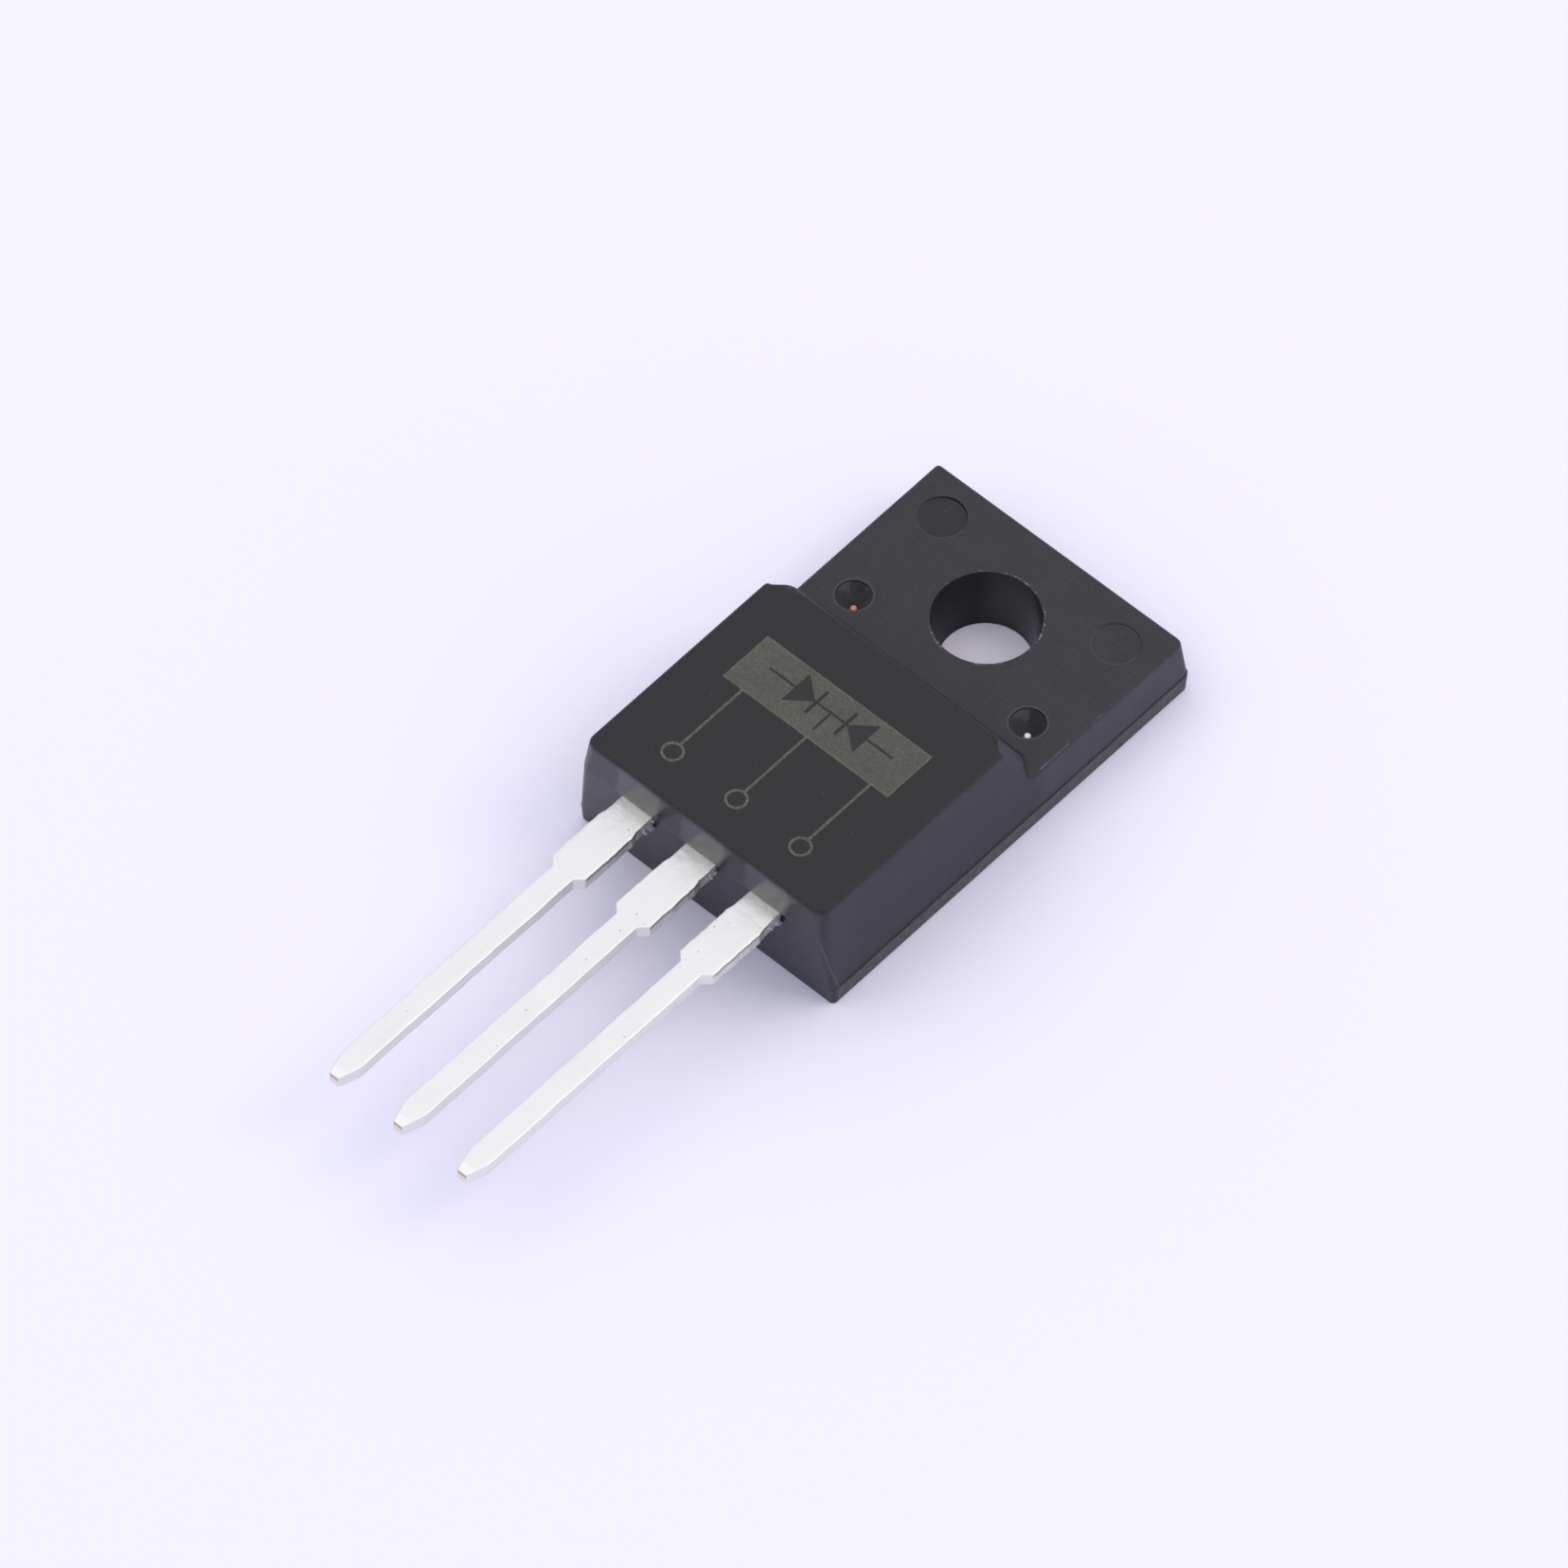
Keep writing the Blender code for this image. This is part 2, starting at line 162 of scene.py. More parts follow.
def patch(front: Array, right: Array, rear: Array, left: Array) -> Array:
    """Grid between four border lines.

    A point is the blend of front and rear plus the blend of left and right, less the blend of the
    corners.

    Args:
        front: Border from left to right, (n, 2).
        right: Border from front to rear, (m, 2).
        rear: Border from left to right, (n, 2).
        left: Border from front to rear, (m, 2).

    Returns:
        Points of the whole grid, (m, n, 2).
    """
    s = np.linspace(0, 1, len(front))[None, :, None]
    t = np.linspace(0, 1, len(left))[:, None, None]
    across = between(front[None], rear[None], t)
    along = between(left[:, None], right[:, None], s)
    corners = between(between(front[0], front[-1], s), between(rear[0], rear[-1], s), t)
    return across + along - corners


def revolved(profile: list[Pair], centre: Pair, sides: int) -> Solid:
    """Closed surface made by turning a profile about an upright axis, with its ends capped.

    Args:
        profile: Radius and height of each ring, from the foot up.
        centre: x and y of the axis.
        sides: Points in a ring.

    Returns:
        Points and faces.
    """
    radius, height = np.array(profile).T
    turn = np.linspace(0, 2 * np.pi, sides, endpoint=False)
    x = centre[0] + radius[:, None] * np.cos(turn)
    y = centre[1] + radius[:, None] * np.sin(turn)
    z = np.repeat(height[:, None], sides, axis=1)
    return np.stack((x, y, z), axis=-1).reshape(-1, 3), tube_faces(len(profile), sides)


def smoothed(mesh: bpy.types.Mesh, sharp: float) -> None:
    """Shade a mesh smooth, but for edges that turn by more than so many degrees."""
    mesh.shade_smooth()
    mesh.set_sharp_from_angle(angle=math.radians(sharp))


def mesh_object(name: str, solid: Solid, sharp: float = 30.0) -> Piece:
    """Object at the origin, with its place in its mesh.

    Args:
        name: Name of the piece.
        solid: Points in mm and faces, which point outwards.
        sharp: Edges that turn by more degrees stay sharp.

    Returns:
        The new object.
    """
    points, faces = solid
    mesh = bpy.data.meshes.new(name)
    mesh.from_pydata((points * MM + (0.0, EXIT_Y, 0.0)).tolist(), [], faces)
    mesh.validate()
    smoothed(mesh, sharp)
    piece = bpy.data.objects.new(name, mesh)
    bpy.context.scene.collection.objects.link(piece)
    return piece


def carve(piece: Piece, tool: Piece, sharp: float) -> None:
    """Take a tool's volume out of a piece for good, and remove the tool.

    Args:
        piece: The piece. It gets a new mesh.
        tool: The solid to take out.
        sharp: Edges that turn by more degrees stay sharp.
    """
    cut = piece.modifiers.new("cut", "BOOLEAN")
    cut.operation, cut.solver, cut.object = "DIFFERENCE", "EXACT", tool
    graph = bpy.context.evaluated_depsgraph_get()
    made = bpy.data.meshes.new_from_object(piece.evaluated_get(graph))
    piece.modifiers.clear()
    old, piece.data = piece.data, made
    made.name = piece.name
    bpy.data.meshes.remove(old)
    bpy.data.objects.remove(tool)
    smoothed(made, sharp)


# Node work


def arithmetic(operation: str, turned: bool = False) -> Callable[..., "Wire"]:
    """Make a method of Wire for one step of arithmetic.

    Args:
        operation: What the Math node does.
        turned: Whether the other value comes before the wire.

    Returns:
        The method. The other value is left out where the operation has only one.
    """

    def step(wire: "Wire", other: "Wire | float" = 0.0) -> "Wire":
        """Feed a new Math node."""
        return wire.bench.sum(operation, *((other, wire) if turned else (wire, other)))

    return step


@dataclass(frozen=True)
class Wire:
    """An output socket that takes part in sums, so that a pattern reads as its formula.

    size() is the value without its sign, root() its square root, and least() and most() give the
    lower and the higher of two values.
    """

    bench: "Bench"
    socket: bpy.types.NodeSocket

    __add__ = __radd__ = arithmetic("ADD")
    __sub__ = arithmetic("SUBTRACT")
    __rsub__ = arithmetic("SUBTRACT", turned=True)
    __mul__ = __rmul__ = arithmetic("MULTIPLY")
    __truediv__ = arithmetic("DIVIDE")
    size = arithmetic("ABSOLUTE")
    root = arithmetic("SQRT")
    least = arithmetic("MINIMUM")
    most = arithmetic("MAXIMUM")

    def rise(self, low: float, high: float) -> "Wire":
        """Smooth step from 0 to 1.

        Args:
            low: Value where the step starts.
            high: Value where it ends. It may be the lower number.

        Returns:
            The step.
        """
        if low > high:
            return 1.0 - self.rise(high, low)
        values = {"Value": self, "From Min": low, "From Max": high}
        settings = {"interpolation_type": "SMOOTHSTEP"}
        return self.bench.wire("Result", "ShaderNodeMapRange", values, **settings)


Value = Wire | float | tuple


@dataclass(frozen=True)
class Bench:
    """A node tree with short ways to add and join nodes."""

    tree: Tree

    def feed(self, node: Node, values: dict[str | int, Value]) -> None:
        """Join wires to a node's inputs, or set their values.

        Args:
            node: The node.
            values: What goes to each input, by name or number. A colour comes without its alpha.
        """
        for key, value in values.items():
            target = node.inputs[key]
            if isinstance(value, Wire):
                self.tree.links.new(value.socket, target)
            else:
                target.default_value = (*value, 1.0) if target.type == "RGBA" else value

    def node(self, kind: str, values: dict[str | int, Value], **settings: object) -> Node:
        """Add a node.

        Args:
            kind: Its type.
            values: What goes to its inputs.
            **settings: Its properties.

        Returns:
            The node.
        """
        made = self.tree.nodes.new(kind)
        for key, value in settings.items():
            setattr(made, key, value)
        self.feed(made, values)
        return made

    def wire(self, output: str | int, kind: str, values: dict, **settings: object) -> Wire:
        """Add a node in the same way and take one of its outputs."""
        return Wire(self, self.node(kind, values, **settings).outputs[output])

    def sum(self, operation: str, a: Wire | float, b: Wire | float) -> Wire:
        """One step of arithmetic."""
        return self.wire(0, "ShaderNodeMath", {0: a, 1: b}, operation=operation)

    def mix(self, share: Wire | float, a: Wire | Colour, b: Wire | Colour) -> Wire:
        """Colour between two colours."""
        return self.wire(2, "ShaderNodeMix", {0: share, 6: a, 7: b}, data_type="RGBA")

    def coats(self, colour: Colour, *coats: tuple[Wire, Wire | Colour]) -> Wire:
        """Colour under a row of coats.

        Args:
            colour: The ground.
            *coats: Share and colour of each coat, from the lowest up.

        Returns:
            The colour on top.
        """
        for share, coat in coats:
            colour = self.mix(share, colour, coat)
        return colour

    def noise(self, place: Wire, scale: float, detail: float = 2.0, rough: float = 0.5) -> Wire:
        """Fractal noise about 0.5, with its scale in features per mm."""
        values = {"Vector": place, "Scale": scale, "Detail": detail, "Roughness": rough}
        return self.wire("Fac", "ShaderNodeTexNoise", values)

    def cells(self, place: Wire, scale: float) -> Wire:
        """Distance to the nearest of scattered points, in features per mm."""
        return self.wire("Distance", "ShaderNodeTexVoronoi", {"Vector": place, "Scale": scale})

    def stretched(self, place: Wire, shares: Triple) -> Wire:
        """Place with each axis scaled, for streaks."""
        return self.wire(0, "ShaderNodeVectorMath", {0: place, 1: shares}, operation="MULTIPLY")

    def split(self, vector: Wire) -> list[Wire]:
        """Three parts of a vector."""
        return [Wire(self, out) for out in self.node("ShaderNodeSeparateXYZ", {0: vector}).outputs]

    def facing(self) -> list[Wire]:
        """Three parts of the surface's normal, in the object's own axes."""
        return self.split(self.wire("Normal", "ShaderNodeTexCoord", {}))

    def group(self, tree: Tree, **inputs: Wire | float) -> dict[str, Wire]:
        """Place a shared group, feed its inputs and give its outputs by name."""
        node = self.node("ShaderNodeGroup", inputs, node_tree=tree)
        return {out.name: Wire(self, out) for out in node.outputs}

    def bump(self, height: Wire, depth: float) -> Wire:
        """Normal of a relief that is depth mm deep where the height goes from 0 to 1."""
        return self.wire("Normal", "ShaderNodeBump", {"Height": height, "Distance": depth * MM})


def round_distance(x: Wire, y: Wire, centre: Pair) -> Wire:
    """Distance in plan from a point."""
    across, along = x - centre[0], y - centre[1]
    return (across * across + along * along).root()


def box_gap(x: Wire, y: Wire, middle: Pair, half: Pair) -> Wire:
    """Distance outside a rectangle, negative inside: the greater of those on the two axes."""
    return ((x - middle[0]).size() - half[0]).most((y - middle[1]).size() - half[1])


def shared_group(name: str, inputs: dict[str, str], pattern: Callable) -> Tree:
    """Make a node group with its own sockets.

    Args:
        name: Name of the group.
        inputs: Type of each input by name.
        pattern: Takes the bench and a wire for each input, and gives the outputs by name.

    Returns:
        The group.
    """
    tree = bpy.data.node_groups.new(name, "ShaderNodeTree")
    for label, kind in inputs.items():
        tree.interface.new_socket(label, in_out="INPUT", socket_type="NodeSocket" + kind)
    bench = Bench(tree)
    entry = bench.node("NodeGroupInput", {})
    results = pattern(bench, *(Wire(bench, entry.outputs[label]) for label in inputs))
    for label, wire in results.items():
        kind = "NodeSocketVector" if wire.socket.type == "VECTOR" else "NodeSocketFloat"
        tree.interface.new_socket(label, in_out="OUTPUT", socket_type=kind)
    bench.feed(bench.node("NodeGroupOutput", {}), results)
    return tree


def place_pattern(bench: Bench) -> dict[str, Wire]:
    """Place on the surface in mm, measured as the sizes are.

    Args:
        bench: Where it is made.

    Returns:
        The place.
    """
    values = {
        "Vector": bench.wire("Object", "ShaderNodeTexCoord", {}),
        "Location": (0.0, -EXIT_Y / MM, 0.0),
        "Scale": (1 / MM, 1 / MM, 1 / MM),
    }
    return {"Place": bench.wire("Vector", "ShaderNodeMapping", values, vector_type="POINT")}


def grain_pattern(bench: Bench, place: Wire) -> dict[str, Wire]:
    """Clouds of tone, fine grain and rare specks.

    Args:
        bench: Where they are made.
        place: Place on the surface.

    Returns:
        The three masks.
    """
    specks = bench.cells(place, 2.6).rise(0.09, 0.03) * bench.noise(place, 1.3).rise(0.5, 0.62)
    clouds, fine = bench.noise(place, 0.9, 4.0, 0.6), bench.noise(place, 8.0, 5.0, 0.75)
    return {"Clouds": clouds, "Grain": fine, "Specks": specks}


def rubbed_pattern(bench: Bench, place: Wire, gap: Wire, reach: Wire, amount: Wire) -> dict:
    """Rubbed or chipped line: broken where coarse noise is low, with a ragged border.

    Args:
        bench: Where it is made.
        place: Place on the surface.
        gap: Distance from the line.
        reach: How far from the line it is rubbed.
        amount: How much of the line is rubbed.

    Returns:
        Its mask.
    """
    ragged = reach * (0.35 + bench.noise(place, 7.0, 4.0, 0.7) * 1.3)
    broken = (bench.noise(place, 1.7) + amount - 0.5).rise(0.42, 0.62)
    return {"Mask": (1.0 - gap / ragged).rise(0.0, 0.6) * broken}


def stroke_pattern(bench: Bench, place: Wire, gap: Wire) -> dict[str, Wire]:
    """Drawn shape with a slightly ragged border: 1 where the distance outside it is negative."""
    ragged = bench.noise(place, 16.0) - 0.5
    return {"Mask": (gap + ragged * 0.05).rise(0.012, -0.012)}


class Groups:
    """The shared groups, each made once."""

    def __init__(self) -> None:
        """Make the groups."""
        line = {"Place": "Vector", "Distance": "Float"}
        rubbed = {**line, "Reach": "Float", "Amount": "Float"}
        self.place = shared_group("place_in_mm", {}, place_pattern)
        self.grain = shared_group("grain", {"Place": "Vector"}, grain_pattern)
        self.rubbed = shared_group("rubbed_line", rubbed, rubbed_pattern)
        self.stroke = shared_group("stroke", line, stroke_pattern)


def new_material(name: str, groups: Groups) -> tuple[Material, Bench, Node, Wire]:
    """Make a material with a Principled shader.

    Args:
        name: Its name.
        groups: The shared groups.

    Returns:
        The material, the bench on its tree, the shader node and the place on the surface.
    """
    made = bpy.data.materials.new(name)
    made.use_nodes = True
    bench = Bench(made.node_tree)
    shader = made.node_tree.nodes["Principled BSDF"]
    return made, bench, shader, bench.group(groups.place)["Place"]


# Finishes


@dataclass(frozen=True)
class Spot:
    """What the epoxy's patterns read at a point: where it is, and what kind of face it is on."""

    bench: Bench
    place: Wire
    x: Wire
    y: Wire
    z: Wire
    up: Wire
    on_tab: Wire
    outside: Wire
    grain: dict[str, Wire]


@dataclass(frozen=True)
class LaserWork:
    """Etched rectangle with a plain circuit symbol left dark in it, and three etched lines."""

    groups: Groups
    etched: Colour = (0.128, 0.126, 0.092)
    border: Colour = (0.19, 0.19, 0.165)
    middle: Pair = (-0.045, 5.57)
    half: Pair = (3.275, 0.99)
    symbol_lift: float = 0.16
    pen: float = 0.045
    # Point, foot and slope of the triangle, and place, half width and half length of the bar
    triangle: Triple = (0.62, 1.42, 1.25)
    bar: Triple = (0.58, 0.06, 0.52)
    arm: float = 2.40
    stem: float = 0.80
    lines: Pair = (1.91, 4.61)
    ring_y: float = 1.55
    ring_radius: float = 0.32

    def symbol(self, on: Spot) -> Wire:
        """Distance outside the symbol of two diodes with a common cathode.

        Each half is a filled triangle that points to the middle, a bar at its point and a line to
        its foot. The halves mirror each other, so they use the distance from the middle. A stem
        leads down from there.

        Args:
            on: The point.

        Returns:
            The distance, negative inside.
        """
        middle_y = self.middle[1] + self.symbol_lift
        out = (on.x - self.middle[0]).size()
        point, foot, slope = self.triangle
        triangle = ((on.y - middle_y).size() * slope - (out - point)).most(out - foot)
        bar_out, bar_half, bar_reach = self.bar
        bar = box_gap(out, on.y, (bar_out, middle_y), (bar_half, bar_reach))
        half_arm = self.arm / 2
        arm = box_gap(out, on.y, (half_arm, middle_y), (half_arm + self.pen, self.pen))
        half_stem = self.stem / 2
        stem_middle = (self.middle[0], middle_y - half_stem)
        stem = box_gap(on.x, on.y, stem_middle, (self.pen, half_stem))
        return triangle.least(bar).least(arm).least(stem)

    def pin_out(self, on: Spot) -> Wire:
        """Distance outside the lines towards the three leads, each with a ring at its end.

        Args:
            on: The point.

        Returns:
            The distance, negative inside.
        """
        off_lead = (on.x.size() - PITCH).size().least(on.x.size())
        low, high = self.lines
        line = box_gap(off_lead, on.y, (0.0, (low + high) / 2), (self.pen, (high - low) / 2))
        ring = round_distance(off_lead, on.y, (0.0, self.ring_y)) - self.ring_radius
        return line.least(ring.size() - self.pen)

    def build(self, on: Spot) -> tuple[Wire, Wire]:
        """Make the pattern.

        Args:
            on: The point.

        Returns:
            Share and colour of the etching.
        """
        drawn = [
            on.bench.group(self.groups.stroke, Place=on.place, Distance=gap)["Mask"]
            for gap in (self.symbol(on), self.pin_out(on))
        ]
        gap = box_gap(on.x, on.y, self.middle, self.half)
        gap = gap + (on.bench.noise(on.place, 9.0) - 0.5) * 0.05
        in_label = gap.rise(0.015, -0.015) * on.up
        at_border = (gap + 0.03).size().rise(0.07, 0.0)
        speckle = on.bench.noise(on.place, 15.0, 4.0, 0.75).rise(0.36, 0.62)
        share = in_label * (1.0 - drawn[0] * 0.93) * (0.46 + speckle * 0.28)
        share = share.most(drawn[1] * on.up * (0.35 + speckle * 0.65))
        return share, on.bench.mix(at_border * 0.45, self.etched, self.border)


@dataclass(frozen=True)
class Epoxy:
    """Black filled epoxy: matte and grained, glossy where the mould is polished at the lead end."""

    groups: Groups
    top: Colour = (0.0080, 0.0080, 0.0076)
    # Painted shade: the slope that faces the rear is darker than the top
    riser: Colour = (0.0060, 0.0060, 0.0065)
    tab: Colour = (0.0200, 0.0202, 0.0218)
    side: Colour = (0.0230, 0.0225, 0.0290)
    tab_side: Colour = (0.036, 0.035, 0.046)
    front: Colour = (0.004, 0.004, 0.007)
    # Painted shade: the walls inside the holes are darker than the outer walls
    bore_shade: Colour = (0.0060, 0.0060, 0.0085)
    pin_wall: Colour = (0.045, 0.045, 0.047)
    flash: Colour = (0.085, 0.083, 0.092)
    # Painted highlight: the chamfered corner faces are made lighter than the walls beside them
    chamfer: Colour = (0.048, 0.046, 0.057)
    strip: Colour = (0.105, 0.106, 0.102)
    rubbed: Colour = (0.17, 0.175, 0.185)
    # Painted shade on the far half of each ejector rim
    ejector_far_shade: Colour = (0.003, 0.003, 0.004)
    # Painted shade: the dark line in the groove under the parting ledge
    parting_shade: Colour = (0.004, 0.004, 0.005)
    front_parting: float = 3.15
    pin_radius: float = 0.575
    rubbed_riser: Pair = (-4.1, 8.9)

    def parting_marks(self, on: Spot) -> tuple[Wire, Wire, Wire]:
        """Marks of the parting line.

        The line runs level across the lead end, turns down the front corners and on along the
        sides. The turn is where a point is about as far from the side as from the lead end.

        Args:
            on: The point.

        Returns:
            Shares of the mottled strip under the line, of the dark line of painted shade under its
            ledge and of the flash.
        """
        inset = HALF_WIDTH - (on.z - PARTING).size() * 0.08 - on.x.size()
        lead_end = (on.y - 0.05 - inset).rise(0.55, -0.40)
        turning = lead_end * (1.0 - lead_end) * 4.0
        wander = (on.bench.noise(on.place, 1.1, 3.0) - 0.5) * 0.05
        gap = on.z - (PARTING + lead_end * (self.front_parting - PARTING)) + wander
        wall = (1.0 - on.up) * on.outside * lead_end.rise(0.10, 0.01)
        mottle = on.bench.noise(on.place, 5.0, 5.0, 0.7).rise(0.35, 0.68)
        strip = gap.rise(0.015, -0.02) * wall * (0.35 + mottle * 0.65)
        # Painted shade: a dark line where the ledge overhangs the strip
        dark = (gap - 0.03).size().rise(0.075, 0.02) * wall
        flash = (gap.size() / (1.0 + turning * 3.0)).rise(0.075, 0.0)
        return strip, dark, flash * turning.rise(0.02, 0.35) * (1.0 - on.up)

    def rubbed_line(self, on: Spot, distance: Wire, reach: float, amount: float) -> Wire:
        """Share of a rubbed line at a distance from the point."""
        values = {"Place": on.place, "Distance": distance, "Reach": reach, "Amount": amount}
        return on.bench.group(self.groups.rubbed, **values)["Mask"]

    def wear_and_ejector_highlight(self, on: Spot, hole: Wire, pin: Wire, ejector: Wire) -> Wire:
        """Rubbed rims and edges, the rubbed spot on the riser, specks and dust, and a painted
        highlight on the near half of the ejector rims.

        Args:
            on: The point.
            hole: Distance from the axis of the screw hole.
            pin: Distance from the axis of the nearer pin hole.
            ejector: Share of the rim of the ejector marks on the near side, where a highlight is
                painted.

        Returns:
            Share of the rubbed colour, which also paints that highlight.
        """
        noise = on.bench.noise
        rims = self.rubbed_line(on, (hole - HOLE_RADIUS - 0.03).size(), 0.05, 0.48)
        rims = rims * noise(on.place, 6.0, 3.0, 0.7).rise(0.47, 0.58)
        tab_edge = (on.z - TAB_TOP).size().most((on.x.size() - HALF_WIDTH + 0.19).size())
        edges = self.rubbed_line(on, tab_edge + on.y.rise(9.4, 9.0), 0.06, 0.40)
        riser_x, riser_y = on.x - self.rubbed_riser[0], on.y - self.rubbed_riser[1]
        riser = (riser_x * riser_x * 0.8 + riser_y * riser_y * 1.2).rise(0.75, 0.1)
        riser = riser * noise(on.place, 6.0, 5.0, 0.75).rise(0.42, 0.74)
        pin_rim = (pin - self.pin_radius - 0.02).size().rise(0.06, 0.01) * on.up
        dust = on.grain["Grain"].rise(0.54, 0.68) * (0.025 + on.on_tab * 0.045) * on.outside
        share = rims * on.z.rise(TAB_TOP - 0.15, TAB_TOP - 0.02)
        for other in (
            edges,
            riser * on.z.rise(TAB_TOP, TAB_TOP + 0.1) * 0.8,
            pin_rim * 0.16,
            # Painted highlight on the near half of the ejector rims
            ejector * 0.16,
            on.grain["Specks"] * 0.30,
            dust,
        ):
            share = share.most(other)
        return share

    def build(self) -> Material:
        """Make the material.

        Returns:
            The material. Its pattern reads the place on the body in mm.
        """
        made, bench, shader, place = new_material("epoxy_moulding", self.groups)
        x, y, z = bench.split(place)
        normal_x, normal_y, normal_z = bench.facing()
        up = normal_z.rise(0.55, 0.85)
        wall = 1.0 - up
        front = (0.0 - normal_y).rise(0.6, 0.9)

        # Holes and marks
        sunk = z.rise(TAB_TOP, TAB_TOP - 0.03)
        hole = round_distance(x, y, (0.0, HOLE_Y))
        pin = round_distance(x.size(), y, PIN_PLACE)
        ejector = round_distance(x.size(), y, EJECTOR_PLACE)
        in_pin = pin.rise(self.pin_radius, self.pin_radius - 0.05) * sunk
        in_hole = hole.rise(HOLE_RADIUS + 0.02, HOLE_RADIUS - 0.02) * sunk
        inside = in_hole.most(in_pin)
        on_tab = z.rise(TAB_TOP + 0.9, TAB_TOP + 0.2) * up
        ejector_rim = (ejector - EJECTOR_RADIUS).size().rise(0.05, 0.0) * on_tab
        # Each ejector rim gets painted shade on its far half and a painted highlight on its near
        # half
        shaded_far_half = (y - EJECTOR_PLACE[1]).rise(-0.1, 0.3)
        left_mark = ejector.rise(EJECTOR_RADIUS, EJECTOR_RADIUS - 0.05) * x.rise(0.0, -0.5)

        grain = bench.group(self.groups.grain, Place=place)
        on = Spot(bench, place, x, y, z, up, on_tab, 1.0 - inside, grain)
        strip, parting_shade_line, flash = self.parting_marks(on)
        etched_share, etched = LaserWork(self.groups).build(on)
        rubbed = self.wear_and_ejector_highlight(on, hole, pin, ejector_rim * (1.0 - shaded_far_half))
        above_tab = z.rise(TAB_TOP, TAB_TOP + 0.1)
        # Painted highlight on the chamfered corners, picked by the way the faces turn
        chamfer = normal_x.size().rise(0.35, 0.55) * normal_y.rise(0.35, 0.6)
        colour = bench.coats(
            self.top,
            (on_tab, self.tab),
            (wall, self.side),
            (wall * y.rise(9.0, 10.0) * z.rise(0.6, 0.8), self.tab_side),
            (front, self.front),
            # Painted shade on the rear-facing riser slope
            (normal_y.rise(0.6, 0.8) * above_tab * y.rise(10.6, 10.4), self.riser),
            # Painted highlight on the chamfered corners
            (chamfer * z.rise(TAB_TOP, 2.6), self.chamfer),
            # Painted shade inside the holes
            (inside, self.bore_shade),
            (in_pin, self.pin_wall),
            (left_mark * on_tab * 0.75, self.top),
            # Painted shade on the far half of the ejector rims
            (ejector_rim * shaded_far_half * 0.8, self.ejector_far_shade),
            (strip, self.strip),
            (flash * 0.6, self.flash),
            # Painted shade along the parting ledge
            (parting_shade_line * 0.75, self.parting_shade),
            (etched_share, etched),
            (rubbed, self.rubbed),
        )
        tone = 0.10 + grain["Clouds"] * 0.50 + grain["Grain"] * 1.30
        toned = bench.wire(0, "ShaderNodeVectorMath", {0: colour, "Scale": tone}, operation="SCALE")

        rough = 0.56 + (grain["Grain"] - 0.5) * 0.35 - front * 0.20 - in_pin * 0.30
        rough = rough + strip * 0.2 + etched_share * 0.25 + rubbed * 0.15
        by_lead = (x.size() - PITCH).size().least(x.size()).rise(0.95, 0.70)
        polish = front * (0.14 + z.rise(3.05, 3.2) * (0.22 + by_lead * 0.44))
        relief = grain["Grain"] * 0.5 + grain["Clouds"] * 0.25
        relief = relief * (1.0 - front.most(inside) * 0.95)
        relief = relief + bench.noise(place, 7.0, 4.0, 0.7) * strip * 1.6
        relief = relief + (rubbed + etched_share * 0.3) * 0.9 - parting_shade_line * 2.0
        values = {
            "Base Color": toned,
            "Roughness": rough.most(0.12),
            "IOR": 1.47,
            "Coat Weight": polish.most(in_pin * 0.25),
            "Coat Roughness": 0.05,
            "Coat IOR": 1.62,
            "Normal": bench.bump(relief, 0.02),
        }
        bench.feed(shader, values)
        return made


